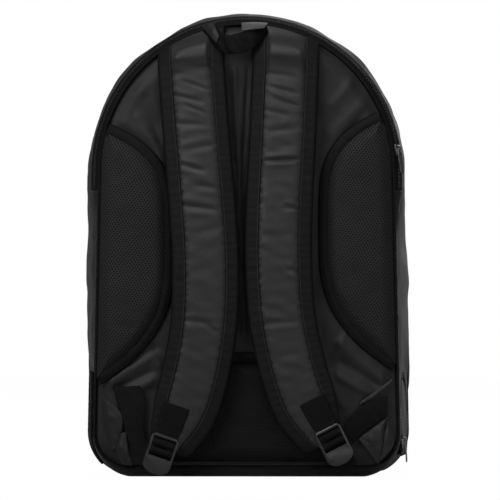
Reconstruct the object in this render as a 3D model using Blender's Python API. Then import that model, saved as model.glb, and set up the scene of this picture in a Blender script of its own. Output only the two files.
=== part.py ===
"""Racket backpack, modelled in metres with +Z up.

The harness side faces -Y and the front faces +Y. The pack stands on z = 0, and x = 0 is its middle.
Every depth is counted from the back panel's outer face, towards the front.
"""

import math

import bmesh
import bpy
from mathutils import Matrix, Vector

# Outline of the pack, seen from behind.
ARCH_RADIUS = 0.162
ARCH_CENTRE_Z = 0.317
FOOT_HALF_WIDTH = 0.1675
CORNER_RADIUS = 0.045
ZIP_END_Z = 0.297

# Depths.
BACK_FACE_Y = -0.082566
GAP = 0.0003
PANEL_THICK = 0.008
CHAMFER_DEPTH = 0.0135
GUSSET_START = 0.0155
# Below the zip's ends the side walls lean in towards the back panel by this much.
FLARE = 0.0086
FLARE_END_DEPTH = 0.118
FLARE_BLEND = 0.055
BODY_DEPTH = 0.176
WALL = 0.003
DIVIDER_DEPTH = 0.124
SHELF_Z = 0.119

# Harness.
YOKE_SHIFT = -0.008
STRAP_HINGE_Z = 0.425
STRAP_HALF_WIDTH = 0.034
STRAP_CORE = 0.0055
STRAP_SKIN = 0.0014
EDGE_BAND = 0.0055
STRAP_END_TAPER = 0.55
STRAP_END_SHARE = 0.16
# Strap centreline as (distance from the middle, height, distance out from the back panel).
STRAP_ROUTE = (
    (0.0490, STRAP_HINGE_Z, 0.0125),
    (0.0470, 0.395, 0.0180),
    (0.0440, 0.345, 0.0250),
    (0.0395, 0.280, 0.0310),
    (0.0375, 0.225, 0.0335),
    (0.0400, 0.165, 0.0335),
    (0.0490, 0.115, 0.0320),
    (0.0610, 0.075, 0.0295),
    (0.0710, 0.050, 0.0268),
    (0.0785, 0.0300, 0.0248),
)
PAD_HEIGHT = 0.2756
PAD_MIDDLE_Z = 0.2387
PAD_REACH = 0.071
PAD_TOP_POWER = 4.6
PAD_LOW_POWER = 2.9
PAD_THICK = 0.013
PAD_EDGE_X = 0.1455
PAD_BAND = 0.0105
PANEL_INSET = 0.0150
# The right side of the harness sits a little higher than the left.
SIDE_LIFT = {"left": -0.006, "right": 0.006}
PAD_LIFT = {"left": -0.006, "right": 0.009}
# Middle of the bar that the strap's tape goes round, as (distance from the middle, height).
BUCKLE_PLACE = {"left": (0.0843, 0.0359), "right": (0.0865, 0.0445)}
BUCKLE_OUT = 0.0410
BUCKLE_LEAN = {"left": 19.0, "right": 27.0}
BUCKLE_WIDTH = 0.029
BUCKLE_LENGTH = 0.041
BUCKLE_THICK = 0.0036
WEBBING_HALF = 0.0120
WEBBING_THICK = 0.0014

# Front.
FLAP_INSET = 0.0265
RACKET_ZIP_INSET = 0.0185
POCKET_HALF_WIDTH = 0.102
POCKET_BOTTOM_Z = 0.052
POCKET_TOP_Z = 0.236
POCKET_DEPTH = 0.0215
POCKET_ZIP_Z = 0.212

# Shoe compartment door, a disc with a flat bottom edge on the right-hand side.
DOOR_CENTRE_Z = 0.060
DOOR_CENTRE_DEPTH = 0.0675
DOOR_RADIUS = 0.0404
DOOR_CHORD = -0.035
SHOE_ZIP_RADIUS = 0.0450
SHOE_ZIP_HALF = 0.0043

# Zip hardware.
ZIP_TAPE_HALF = 0.0045
SLIDER_LENGTH = 0.0115
SLIDER_WIDTH = 0.0082
PULLER_LENGTH = 0.027
PULLER_WIDTH = 0.0066
PULLER_THICK = 0.0014
SLIDER_PARK_ANGLE = 8.0
SHOE_PARK_ANGLE = 212.0
PULLER_AXIS = (0.0, -0.0041, 0.0011)

SIDES = {"left": -1.0, "right": 1.0}
ARCH_STEPS = 22
CORNER_STEPS = 5


def back(depth):
    """World y of a plane this far in front of the back panel's outer face."""
    return BACK_FACE_Y + depth


# ---------------------------------------------------------------- materials


def make_material(name, colour, roughness, metallic=0.0):
    material = bpy.data.materials.new(name)
    material.use_nodes = True
    shader = material.node_tree.nodes["Principled BSDF"]
    shader.inputs["Base Color"].default_value = (*colour, 1.0)
    shader.inputs["Roughness"].default_value = roughness
    shader.inputs["Metallic"].default_value = metallic
    material.diffuse_color = (*colour, 1.0)
    return material


def make_materials():
    return {
        "nylon": make_material("nylon", (0.020, 0.020, 0.023), 0.55),
        "mesh": make_material("mesh", (0.012, 0.012, 0.013), 0.85),
        "webbing": make_material("webbing", (0.010, 0.010, 0.011), 0.75),
        "lining": make_material("lining", (0.030, 0.030, 0.033), 0.70),
        "foam": make_material("foam", (0.050, 0.050, 0.052), 0.90),
        "board": make_material("board", (0.030, 0.030, 0.030), 0.50),
        "plastic": make_material("plastic", (0.025, 0.025, 0.027), 0.35),
        "zip_metal": make_material("zip_metal", (0.060, 0.060, 0.065), 0.30, 0.9),
    }


# ---------------------------------------------------------------- mesh tools


def finish_object(name, mesh_data, material, origin=(0.0, 0.0, 0.0)):
    """Closes up one bmesh as a named object whose origin sits at the given point."""
    bmesh.ops.recalc_face_normals(mesh_data, faces=mesh_data.faces)
    bmesh.ops.translate(mesh_data, verts=mesh_data.verts, vec=-Vector(origin))
    mesh = bpy.data.meshes.new(name)
    mesh_data.to_mesh(mesh)
    mesh_data.free()
    mesh.shade_smooth()
    mesh.set_sharp_from_angle(angle=math.radians(35))
    mesh.materials.append(material)
    made = bpy.data.objects.new(name, mesh)
    made.location = origin
    bpy.context.scene.collection.objects.link(made)
    return made


def bridge(mesh_data, first, second):
    """Quads between two loops of points with the same count."""
    count = len(first)
    for i in range(count):
        j = (i + 1) % count
        mesh_data.faces.new((first[i], first[j], second[j], second[i]))


def loft(name, loops, material, closed=False, origin=(0.0, 0.0, 0.0)):
    """Skins a row of loops. An open row gets end caps, a closed one joins up as a ring."""
    mesh_data = bmesh.new()
    rows = [[mesh_data.verts.new(point) for point in loop] for loop in loops]
    for first, second in zip(rows, rows[1:]):
        bridge(mesh_data, first, second)
    if closed:
        bridge(mesh_data, rows[-1], rows[0])
    else:
        mesh_data.faces.new(rows[0])
        mesh_data.faces.new(reversed(rows[-1]))
    return finish_object(name, mesh_data, material, origin)


def plate(name, outline, levels, material, origin=(0.0, 0.0, 0.0)):
    """A flat or domed plate: the outline, drawn in x and z, repeated at (inset, y) levels."""
    loops = []
    for inset, y in levels:
        shrunk = inset_outline(outline, inset)
        loops.append([(x, y, z) for x, z in shrunk])
    return loft(name, loops, material, origin=origin)


def inset_outline(outline, distance):
    """The same closed outline moved inwards by a distance, corner by corner."""
    if distance == 0.0:
        return list(outline)
    count = len(outline)
    area = 0.0
    for i in range(count):
        x0, z0 = outline[i]
        x1, z1 = outline[(i + 1) % count]
        area += x0 * z1 - x1 * z0
    turn = 1.0 if area > 0 else -1.0
    moved = []
    for i in range(count):
        before = Vector(outline[i - 1])
        here = Vector(outline[i])
        after = Vector(outline[(i + 1) % count])
        first = (here - before).normalized()
        second = (after - here).normalized()
        normal = Vector((-first.y - second.y, first.x + second.x)) * turn
        normal.normalize()
        lean = max(0.45, abs(normal.dot(Vector((-first.y, first.x)))))
        moved.append(tuple(here + normal * distance / lean))
    return moved


def sheet_solid(name, outer, inner, material, present=None, origin=(0.0, 0.0, 0.0)):
    """A solid between two grids of points. present(row, column) says which cells exist."""
    rows, columns = len(outer) - 1, len(outer[0]) - 1
    mesh_data = bmesh.new()
    made = {}

    def corner(side, i, j):
        key = (side, i, j)
        if key not in made:
            made[key] = mesh_data.verts.new((outer, inner)[side][i][j])
        return made[key]

    def exists(i, j):
        inside = 0 <= i < rows and 0 <= j < columns
        return inside and (present is None or present(i, j))

    for i in range(rows):
        for j in range(columns):
            if not exists(i, j):
                continue
            ring = ((i, j), (i, j + 1), (i + 1, j + 1), (i + 1, j))
            mesh_data.faces.new([corner(0, *c) for c in ring])
            mesh_data.faces.new([corner(1, *c) for c in reversed(ring)])
            neighbours = ((i - 1, j), (i, j + 1), (i + 1, j), (i, j - 1))
            for k, neighbour in enumerate(neighbours):
                if exists(*neighbour):
                    continue
                a, b = ring[k], ring[(k + 1) % 4]
                mesh_data.faces.new((corner(0, *b), corner(0, *a), corner(1, *a), corner(1, *b)))
    return finish_object(name, mesh_data, material, origin)


def boolean(target, cutter, operation):
    """Applies a Boolean with a hidden cutter and removes the cutter."""
    modifier = target.modifiers.new(operation.lower(), "BOOLEAN")
    modifier.operation = operation
    modifier.solver = "EXACT"
    modifier.object = cutter
    bpy.context.view_layer.update()
    graph = bpy.context.evaluated_depsgraph_get()
    result = bpy.data.meshes.new_from_object(target.evaluated_get(graph))
    target.modifiers.clear()
    old = target.data
    target.data = result
    result.name = target.name
    bpy.data.meshes.remove(old)
    bpy.data.objects.remove(cutter)
    return target


# ---------------------------------------------------------------- pack outline


def arc_points(centre, radius, start, end, steps):
    """(point, outward normal) along an arc, angles in degrees from +x towards +z."""
    found = []
    for i in range(steps + 1):
        angle = math.radians(start + (end - start) * i / steps)
        normal = Vector((math.cos(angle), math.sin(angle)))
        found.append((Vector(centre) + normal * radius, normal))
    return found


def side_stop(side, z):
    """(point, normal) on the nearly straight side of the pack at a height."""
    run = (ARCH_CENTRE_Z - z) / (ARCH_CENTRE_Z - CORNER_RADIUS)
    x = ARCH_RADIUS + (FOOT_HALF_WIDTH - ARCH_RADIUS) * run
    return Vector((side * x, z)), Vector((side, 0.0))


def upper_rim(end_z=ZIP_END_Z):
    """Stations from the right-hand zip end, over the arch, to the left-hand one."""
    arch = arc_points((0.0, ARCH_CENTRE_Z), ARCH_RADIUS, 0.0, 180.0, ARCH_STEPS)
    return [side_stop(1.0, end_z), *arch, side_stop(-1.0, end_z)]


def lower_rim(end_z=ZIP_END_Z):
    """Stations from the left-hand zip end, round the base, to the right-hand one."""
    left_middle = (CORNER_RADIUS - FOOT_HALF_WIDTH, CORNER_RADIUS)
    right_middle = (FOOT_HALF_WIDTH - CORNER_RADIUS, CORNER_RADIUS)
    return [
        side_stop(-1.0, end_z),
        side_stop(-1.0, ZIP_END_Z - FLARE_BLEND),
        side_stop(-1.0, 0.130),
        *arc_points(left_middle, CORNER_RADIUS, 180.0, 270.0, CORNER_STEPS),
        *arc_points(right_middle, CORNER_RADIUS, 270.0, 360.0, CORNER_STEPS),
        side_stop(1.0, 0.130),
        side_stop(1.0, ZIP_END_Z - FLARE_BLEND),
        side_stop(1.0, end_z),
    ]


def whole_rim():
    return upper_rim() + lower_rim()[1:-1]


def rim_point(station, inset, y):
    """A point set in from the rim at one station."""
    point, normal = station
    x, z = point - normal * inset
    return (x, y, z)


def rim_band(name, stations, section, material, closed=False, flared=None):
    """Sweeps a section, a list of (inset, depth), along rim stations. Where the side walls
    lean, the section turns into the flared one."""
    loops = []
    for station in stations:
        lean = side_lean(station)
        loop = []
        for (inset, depth), (other, other_depth) in zip(section, flared or section):
            mixed = inset + (other - inset) * lean
            loop.append(rim_point(station, mixed, back(depth + (other_depth - depth) * lean)))
        loops.append(loop)
    return loft(name, loops, material, closed)


def side_lean(station):
    """1 where the side wall leans fully, 0 over the arch and under the base."""
    point, normal = station
    return abs(normal.x) * min(1.0, max(0.0, (ZIP_END_Z - point.y) / FLARE_BLEND))


def flare_inset(depth):
    """How far the leaning side wall is set in at a depth."""
    run = (depth - GUSSET_START) / (FLARE_END_DEPTH - GUSSET_START)
    return FLARE * max(0.0, 1.0 - run)


def rim_outline(stations, inset):
    return [tuple(point - normal * inset) for point, normal in stations]


def cut_below(stations, z):
    """The part of a rim that lies under a height, closed by a straight top edge."""
    kept = [s for s in stations if s[0].y < z]
    return [side_stop(-1.0, z), *kept, side_stop(1.0, z)]


# ---------------------------------------------------------------- pack body


def make_back_panel(look):
    outline = rim_outline(whole_rim(), PANEL_INSET)
    thin = 0.0015
    levels = [(0.0, back(PANEL_THICK)), (0.0, back(thin)), (thin, back(0.0))]
    plate("back_panel", outline, levels, look["nylon"])
    sheet_front = back(PANEL_THICK + GAP + 0.0015)
    sheet = [(0.004, back(PANEL_THICK + GAP)), (0.004, sheet_front)]
    plate("back_frame_sheet", outline, sheet, look["board"])


def make_back_edge(look):
    """Piping round the panel, the long zip over the arch, and the gusset strip below it."""
    radius = 0.0019
    section = []
    for i in range(6):
        angle = math.tau * i / 6
        section.append((0.0127 + radius * math.cos(angle), 0.0006 + radius * math.sin(angle)))
    rim_band("back_piping", whole_rim(), section, look["webbing"], closed=True)
    zip_section = [
        (0.0102, 0.0010),
        (0.0018, CHAMFER_DEPTH),
        (0.0040, CHAMFER_DEPTH + 0.0014),
        (0.0122, 0.0034),
    ]
    rim_band("main_zip", upper_rim(), zip_section, look["webbing"])
    strip = [
        (0.0101, 0.0006),
        (0.0040, 0.0070),
        (0.0008, CHAMFER_DEPTH),
        (0.0034, CHAMFER_DEPTH + 0.0014),
        (0.0065, 0.0085),
        (0.0122, 0.0036),
    ]
    leaning = [
        (0.0101, 0.0006),
        (0.0094, 0.0070),
        (0.0089, CHAMFER_DEPTH),
        (0.0113, CHAMFER_DEPTH + 0.0014),
        (0.0120, 0.0085),
        (0.0126, 0.0036),
    ]
    stations = lower_rim(ZIP_END_Z - GAP)
    rim_band("back_gusset_strip", stations, strip, look["nylon"], flared=leaning)


def make_body_gusset(look):
    """The wall that runs right round the pack, with the shoe door's round opening in it."""
    depths = (GUSSET_START, 0.0375, FLARE_END_DEPTH, 0.150, BODY_DEPTH)
    outer = list(zip((0.0016, 0.0, 0.0, 0.0030, 0.0105), depths))
    leaning = list(zip((flare_inset(depths[0]), flare_inset(depths[1]), 0.0, 0.0030, 0.0105), depths))
    profiles = []
    for profile in (outer, leaning):
        profiles.append(profile + [(inset + WALL, depth) for inset, depth in reversed(profile)])
    stations = whole_rim()
    nylon = look["nylon"]
    gusset = rim_band("body_gusset", stations, profiles[0], nylon, closed=True, flared=profiles[1])
    cut_radius = SHOE_ZIP_RADIUS + SHOE_ZIP_HALF + GAP
    cutter = door_loft("door_cutter", door_outline(cut_radius, DOOR_CHORD - 0.0048), (-0.030, 0.030), nylon)
    boolean(gusset, cutter, "DIFFERENCE")
    return gusset


def make_inner_walls(look):
    inner = rim_outline(whole_rim(), WALL + 0.0012)
    depths = [(0.0, back(DIVIDER_DEPTH)), (0.0, back(DIVIDER_DEPTH + 0.004))]
    plate("racket_divider", inner, depths, look["lining"])
    near, far = GUSSET_START + 0.0030, DIVIDER_DEPTH - GAP
    side_x = side_stop(1.0, SHELF_Z + 0.003)[0].x - WALL - 0.0010
    half_near = side_x - flare_inset(near) - 0.0004
    corners = ((-half_near, near), (half_near, near), (side_x, FLARE_END_DEPTH),
               (side_x, far), (-side_x, far), (-side_x, FLARE_END_DEPTH))
    loops = [[(x, back(d), z) for x, d in corners] for z in (SHELF_Z, SHELF_Z + 0.003)]
    loft("shoe_shelf", loops, look["lining"])
    half = FOOT_HALF_WIDTH - CORNER_RADIUS - 0.001
    corners = ((-half, near), (half, near), (half, far), (-half, far))
    loops = [[(x, back(d), z) for x, d in corners] for z in (WALL + 0.0020, WALL + 0.0044)]
    loft("base_board", loops, look["board"])
    sleeve_outline = [(-0.130, 0.135), (0.130, 0.135), (0.130, 0.330), (-0.130, 0.330)]
    depths = [(0.0, back(0.0260)), (0.0, back(0.0285))]
    plate("laptop_sleeve", sleeve_outline, depths, look["lining"])


def make_lower_front(look):
    """The flat panel that closes the front of the pack below the racket compartment."""
    face = back(BODY_DEPTH + 0.0032)
    levels = [(0.0, back(BODY_DEPTH + GAP)), (0.0, face), (0.0035, face + 0.0013)]
    outline = rim_outline(cut_below(lower_rim(), 0.291), 0.0105)
    plate("lower_front_panel", outline, levels, look["nylon"])


def make_shoe_vent(look):
    """Mesh vent on the left end of the shoe compartment, lying on the leaning side wall."""
    outer, inner = [], []
    for i in range(5):
        z = 0.046 + 0.060 * i / 4
        wall = side_stop(-1.0, z)[0].x
        row_out, row_in = [], []
        for depth in (0.030, 0.085):
            x = wall + flare_inset(depth) - GAP
            row_out.append((x - 0.0016, back(depth), z))
            row_in.append((x, back(depth), z))
        outer.append(row_out)
        inner.append(row_in)
    sheet_solid("shoe_vent", outer, inner, look["mesh"])


# ---------------------------------------------------------------- back pads


def panel_edge_x(z, inset):
    """Half width of the pack's outline at a height, set in by a distance."""
    if z < ARCH_CENTRE_Z:
        return side_stop(1.0, z)[0].x - inset
    radius = ARCH_RADIUS - inset
    return math.sqrt(radius ** 2 - (z - ARCH_CENTRE_Z) ** 2)


def pad_arc_x(side_name, z, shrink):
    """x of the pad's round inner edge at a height, for its curve made smaller by a distance."""
    rise = z - PAD_MIDDLE_Z - PAD_LIFT[side_name]
    power = PAD_TOP_POWER if rise > 0 else PAD_LOW_POWER
    share = abs(rise) / (PAD_HEIGHT / 2 - shrink * 1.2)
    if share >= 1.0:
        return None
    return PAD_EDGE_X - (PAD_REACH - shrink) * (1.0 - share ** power)


def pad_heights(side_name, shrink, edge_inset, steps):
    """Heights at which the round edge lies inside the panel's edge, closer together at the ends."""
    found = []
    middle = PAD_MIDDLE_Z + PAD_LIFT[side_name]
    for i in range(-700, 701):
        z = middle + i * 0.0002
        x = pad_arc_x(side_name, z, shrink)
        if x is not None and x < panel_edge_x(z, edge_inset) - 0.003:
            found.append(z)
    low, high = found[0], found[-1]
    spread = [0.5 - 0.5 * math.cos(math.pi * i / steps) for i in range(steps + 1)]
    return [low + (high - low) * (0.6 * t + 0.4 * i / steps) for i, t in enumerate(spread)]


def pad_outline(side_name, inset):
    """Round inner edge going up, then the outer edge along the panel coming down."""
    side = SIDES[side_name]
    shrink = PAD_BAND + 0.0009 + inset
    edge_inset = PANEL_INSET + 0.0004 + inset
    heights = pad_heights(side_name, shrink, edge_inset, 12)
    points = [(side * pad_arc_x(side_name, z, shrink), z) for z in heights]
    for z in reversed(heights):
        points.append((side * panel_edge_x(z, edge_inset), z))
    return points


def make_side_pads(look):
    levels = ((0.0, GAP), (0.0012, 0.0060), (0.0050, 0.0105), (0.0140, PAD_THICK))
    for side_name in SIDES:
        loops = []
        for inset, lift in levels:
            loops.append([(x, back(-lift), z) for x, z in pad_outline(side_name, inset)])
        loft(f"{side_name}_side_pad", loops, look["mesh"])
        make_pad_binding(side_name, look)


def make_pad_binding(side_name, look):
    """Tape along the pad's round inner edge."""
    side = SIDES[side_name]
    edge_inset = PANEL_INSET + 0.0004
    edges = []
    for shrink in (0.0, PAD_BAND):
        heights = pad_heights(side_name, shrink, edge_inset, 14)
        edges.append([(side * pad_arc_x(side_name, z, shrink), z) for z in heights])
    outer, inner = [], []
    for near, far in zip(*edges):
        outer.append([(near[0], back(-0.0045), near[1]), (far[0], back(-0.0052), far[1])])
        inner.append([(near[0], back(-GAP), near[1]), (far[0], back(-GAP), far[1])])
    sheet_solid(f"{side_name}_pad_binding", outer, inner, look["webbing"])


def make_lumbar_pad(look):
    right = [(0.092, 0.019), (0.078, 0.070), (0.058, 0.118)]
    outline = right + [(-x, z) for x, z in reversed(right)]
    levels = [(0.0, back(-GAP)), (0.001, back(-0.006)), (0.004, back(-0.0095)), (0.013, back(-0.0120))]
    plate("lumbar_pad", outline, levels, look["mesh"])
    outline = [(-0.056, 0.1185), (0.056, 0.1185), (0.052, 0.1295), (-0.052, 0.1295)]
    levels = [(0.0, back(-GAP)), (0.0, back(-0.0045))]
    plate("lumbar_binding", outline, levels, look["webbing"])


# ---------------------------------------------------------------- shoulder straps


def smooth_route(points, steps):
    """Catmull-Rom curve through the points, with a number of steps for each span."""
    padded = [2 * points[0] - points[1], *points, 2 * points[-1] - points[-2]]
    curve = []
    for a, b, c, d in zip(padded, padded[1:], padded[2:], padded[3:]):
        for i in range(steps):
            t = i / steps
            bend = (2 * a - 5 * b + 4 * c - d) * t * t + (3 * b - a - 3 * c + d) * t * t * t
            curve.append((2 * b + (c - a) * t + bend) / 2)
    curve.append(points[-1])
    return curve


def strap_route(side_name):
    side = SIDES[side_name]
    top, bottom = STRAP_ROUTE[0][1], STRAP_ROUTE[-1][1]
    points = []
    for across, z, out in STRAP_ROUTE:
        shift = YOKE_SHIFT * (z - bottom) / (top - bottom)
        lift = SIDE_LIFT[side_name] * 0.5 * (top - z) / (top - bottom)
        points.append(Vector((side * across + shift, back(-out), z + lift)))
    return smooth_route(points, 3)


def strap_frames(side_name):
    """For each station of the strap: its middle, the direction across it, and the direction out of it."""
    route = strap_route(side_name)
    frames = []
    for i, middle in enumerate(route):
        ahead = route[min(i + 1, len(route) - 1)] - route[max(i - 1, 0)]
        ahead.normalize()
        across = Vector((-ahead.z, 0.0, ahead.x)).normalized()
        out = ahead.cross(across).normalized()
        if out.y > 0:
            out.negate()
        frames.append((middle, across, out))
    return frames


def strap_width(i, count):
    """Half width at a station, narrower over the last quarter."""
    run = max(0.0, (i / (count - 1) - 1.0 + STRAP_END_SHARE) / STRAP_END_SHARE)
    return STRAP_HALF_WIDTH * (1.0 - (1.0 - STRAP_END_TAPER) * run * run)


def make_strap(side_name, look):
    frames = strap_frames(side_name)
    hinge = tuple(frames[0][0])

    def inner_columns(half):
        return [-(half - EDGE_BAND - GAP), 0.0, half - EDGE_BAND - GAP]

    def edge_columns(half):
        return [-half, -(half - EDGE_BAND), half - EDGE_BAND, half]

    # The layers stop short of the last station, where the edge band closes the strap's end.
    layers = frames[:-1]
    top_gap = 0.0082
    first, second = layers[0][0], layers[1][0]
    start = first + (second - first).normalized() * top_gap
    layers[0] = (start, layers[0][1], layers[0][2])
    thick = STRAP_CORE
    skin = STRAP_CORE + GAP + STRAP_SKIN
    names = (
        ("strap_foam", thick, -thick, "foam"),
        ("strap_face", skin, thick + GAP, "nylon"),
        ("strap_lining", -thick - GAP, -skin, "mesh"),
    )
    count = len(frames)

    def grid_at(stations, columns, lift):
        grid = []
        for i, (middle, across, out) in enumerate(stations):
            half = strap_width(i, count)
            grid.append([middle + across * c + out * lift for c in columns(half)])
        return grid

    for name, high, low, colour in names:
        outer = grid_at(layers, inner_columns, high)
        inner = grid_at(layers, inner_columns, low)
        sheet_solid(f"{side_name}_{name}", outer, inner, look[colour], origin=hinge)

    band_frames = [*layers, closing_frame(frames, GAP), frames[-1]]
    counts = count + 1

    def band_grid(lift):
        grid = []
        for i, (middle, across, out) in enumerate(band_frames):
            half = strap_width(count - 1 if i == count else min(i, count - 2), count)
            grid.append([middle + across * c + out * lift for c in edge_columns(half)])
        return grid

    def band_cell(i, j):
        return j != 1 or i == counts - 2

    band = skin + 0.0004
    sheet_solid(
        f"{side_name}_strap_binding",
        band_grid(band),
        band_grid(-band),
        look["webbing"],
        present=band_cell,
        origin=hinge,
    )
    return frames


def closing_frame(frames, gap):
    """A station just past the last layer's end."""
    before, last = frames[-2], frames[-1]
    step = (last[0] - before[0]).normalized() * gap
    return (before[0] + step, before[1], before[2])


def make_yoke(side_name, look):
    """The top of the strap, sewn flat to the back panel. It thins out towards the arch."""
    middle = SIDES[side_name] * STRAP_ROUTE[0][0] + YOKE_SHIFT
    rows = ((0.0, 0.0200, 0.0052), (0.30, 0.0165, 0.0020), (0.65, 0.0110, GAP), (1.0, 0.0030, GAP))
    outer, inner = [], []
    for run, out, near in rows:
        row_out, row_in = [], []
        for i in range(7):
            x = middle + STRAP_HALF_WIDTH * (i - 3) / 3
            radius = ARCH_RADIUS - PANEL_INSET - GAP
            top = ARCH_CENTRE_Z + math.sqrt(radius ** 2 - x ** 2)
            z = STRAP_HINGE_Z + (top - STRAP_HINGE_Z) * run
            row_out.append((x, back(-out), z))
            row_in.append((x, back(-near), z))
        outer.append(row_out)
        inner.append(row_in)
    sheet_solid(f"{side_name}_strap_yoke", outer, inner, look["nylon"])


# ---------------------------------------------------------------- buckles and webbing


def buckle_frame(side_name):
    """Matrix of the buckle: its middle bar lies on local x, its grip points along -z."""
    side = SIDES[side_name]
    across, z = BUCKLE_PLACE[side_name]
    turn = Matrix.Rotation(-side * math.radians(BUCKLE_LEAN[side_name]), 4, "Y")
    return Matrix.Translation((side * across, back(-BUCKLE_OUT), z)) @ turn


def rounded_grip(width, length, top):
    """Outline of the ladder buckle: square at the top, half round at the bottom."""
    half = width / 2
    chamfer = 0.003
    round_z = top - length + half * 0.62
    points = [(half - chamfer, top), (half, top - chamfer)]
    for i in range(9):
        angle = math.pi * i / 8
        points.append((half * math.cos(angle), round_z - half * 0.62 * math.sin(angle)))
    points.extend([(-half, top - chamfer), (-half + chamfer, top)])
    return points


def local_plate(name, outline, near, far, frame, material, origin=None):
    """A plate drawn in local x and z between two local y, placed by a matrix."""
    loops = [[frame @ Vector((x, y, z)) for x, z in outline] for y in (near, far)]
    return loft(name, loops, material, origin=origin or tuple(frame.translation))


def slot_outline(half, low, high):
    return [(-half, low), (half, low), (half, high), (-half, high)]


BUCKLE_TOP = 0.0085
SLOTS = ((0.0018, 0.0058), (-0.0068, -0.0018), (-0.0148, -0.0102))


def make_buckle(side_name, look):
    frame = buckle_frame(side_name)
    half_thick = BUCKLE_THICK / 2
    outline = rounded_grip(BUCKLE_WIDTH, BUCKLE_LENGTH, BUCKLE_TOP)
    buckle = local_plate(f"{side_name}_buckle", outline, -half_thick, half_thick, frame, look["plastic"])
    for low, high in SLOTS:
        cut = local_plate("slot_cutter", slot_outline(0.0120, low, high), -0.01, 0.01, frame, look["plastic"])
        boolean(buckle, cut, "DIFFERENCE")
    make_strap_loop(side_name, frame, look)
    make_webbing_tail(side_name, frame, look)
    return frame


def ribbon(name, route, half, frame, material, thick=WEBBING_THICK):
    """A flat tape whose edge view is a route of local (y, z) points, as wide as 2 * half."""
    loops = []
    for i, (y, z) in enumerate(route):
        before = Vector(route[max(i - 1, 0)])
        after = Vector(route[min(i + 1, len(route) - 1)])
        along = (after - before).normalized()
        normal = Vector((-along.y, along.x)) * thick / 2
        loop = []
        for sign, x in ((1, -half), (1, half), (-1, half), (-1, -half)):
            loop.append(frame @ Vector((x, y + sign * normal.x, z + sign * normal.y)))
        loops.append(loop)
    return loft(name, loops, material, origin=tuple(frame.translation))


def make_strap_loop(side_name, frame, look):
    """Tape sewn to the strap's face. It goes down behind the top bar and round the next one."""
    route = [
        (0.0018, 0.0410),
        (0.0034, 0.0260),
        (0.0052, 0.0110),
        (0.0046, 0.0070),
        (0.0022, 0.0042),
        (-0.0012, 0.0038),
        (-0.0030, 0.0026),
        (-0.0032, 0.0000),
        (-0.0026, -0.0024),
        (0.0000, -0.0034),
        (0.0036, -0.0028),
        (0.0050, 0.0006),
    ]
    ribbon(f"{side_name}_strap_loop", route, 0.0112, frame, look["webbing"], 0.0010)


def make_webbing_tail(side_name, frame, look):
    """Loose end of the adjusting webbing, over the lower ladder bar and down behind the grip."""
    route = [
        (-0.0002, -0.0054),
        (-0.0030, -0.0060),
        (-0.0034, -0.0098),
        (-0.0012, -0.0125),
        (0.0024, -0.0132),
        (0.0036, -0.0160),
        (0.0044, -0.0240),
        (0.0044, -0.0300),
    ]
    ribbon(f"{side_name}_webbing_tail", route, 0.0108, frame, look["webbing"], 0.0010)


def make_wing(side_name, look):
    """Folded gusset in the side seam that the lower webbing is sewn to."""
    side = SIDES[side_name]
    top = 0.094 + SIDE_LIFT[side_name]
    corners = ((0.1500, top), (0.1210, top - 0.018), (0.1180, 0.042), (0.1360, 0.0195), (0.1478, 0.0310))
    outline = [(side * x, z) for x, z in corners]
    levels = [(0.0, back(-GAP)), (0.0, back(-0.0028)), (0.003, back(-0.0042))]
    plate(f"{side_name}_wing", outline, levels, look["nylon"])


# Middle of the lower webbing as (distance from the middle, distance out, height).
WEBBING_ROUTE = {
    "left": (
        (0.1270, 0.0056, 0.0890),
        (0.1200, 0.0066, 0.0680),
        (0.1160, 0.0078, 0.0480),
        (0.1100, 0.0100, 0.0310),
        (0.1010, 0.0125, 0.0200),
    ),
    "right": (
        (0.1440, 0.0056, 0.0760),
        (0.1320, 0.0062, 0.0690),
        (0.1210, 0.0075, 0.0570),
        (0.1120, 0.0100, 0.0420),
        (0.1040, 0.0125, 0.0270),
    ),
}


def make_lower_webbing(side_name, look):
    """Adjusting webbing between the wing and the buckle, lying behind the strap."""
    side = SIDES[side_name]
    points = [Vector((side * x, back(-out), z)) for x, out, z in WEBBING_ROUTE[side_name]]
    curve = smooth_route(points, 3)
    outer, inner = [], []
    for i, point in enumerate(curve):
        ahead = curve[min(i + 1, len(curve) - 1)] - curve[max(i - 1, 0)]
        across = Vector((-ahead.z, 0.0, ahead.x)).normalized()
        normal = ahead.normalized().cross(across).normalized()
        if normal.y > 0:
            normal.negate()
        row_out, row_in = [], []
        for sign in (-1, 1):
            edge = point + across * sign * WEBBING_HALF
            row_out.append(edge + normal * WEBBING_THICK / 2)
            row_in.append(edge - normal * WEBBING_THICK / 2)
        outer.append(row_out)
        inner.append(row_in)
    sheet_solid(f"{side_name}_lower_webbing", outer, inner, look["webbing"])


# ---------------------------------------------------------------- grab handle


HANDLE_TOP_Z = 0.4665
HANDLE_END_HALF = 0.0020
HANDLE_DEPTH = -0.0042


def make_grab_handle(look):
    """A drooping loop of webbing with a folded grip, sewn in at the top of the back panel."""
    middle = YOKE_SHIFT
    route = (
        (-0.0350, 0.0042, HANDLE_TOP_Z),
        (-0.0345, 0.0130, 0.4640),
        (-0.0260, 0.0240, 0.4540),
        (-0.0100, 0.0275, 0.4490),
        (0.0100, 0.0275, 0.4490),
        (0.0260, 0.0240, 0.4540),
        (0.0345, 0.0130, 0.4640),
        (0.0350, 0.0042, HANDLE_TOP_Z),
    )
    points = [Vector((middle + x, back(-out), z)) for x, out, z in route]
    curve = smooth_route(points, 2)
    handle_solid("grab_handle", curve, 0.0050, 0.0009, look["webbing"])
    grip = [p - Vector((0.0, 0.0024, 0.0)) for p in curve[5:-5]]
    handle_solid("grab_handle_grip", grip, 0.0090, 0.0009, look["nylon"])


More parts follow.
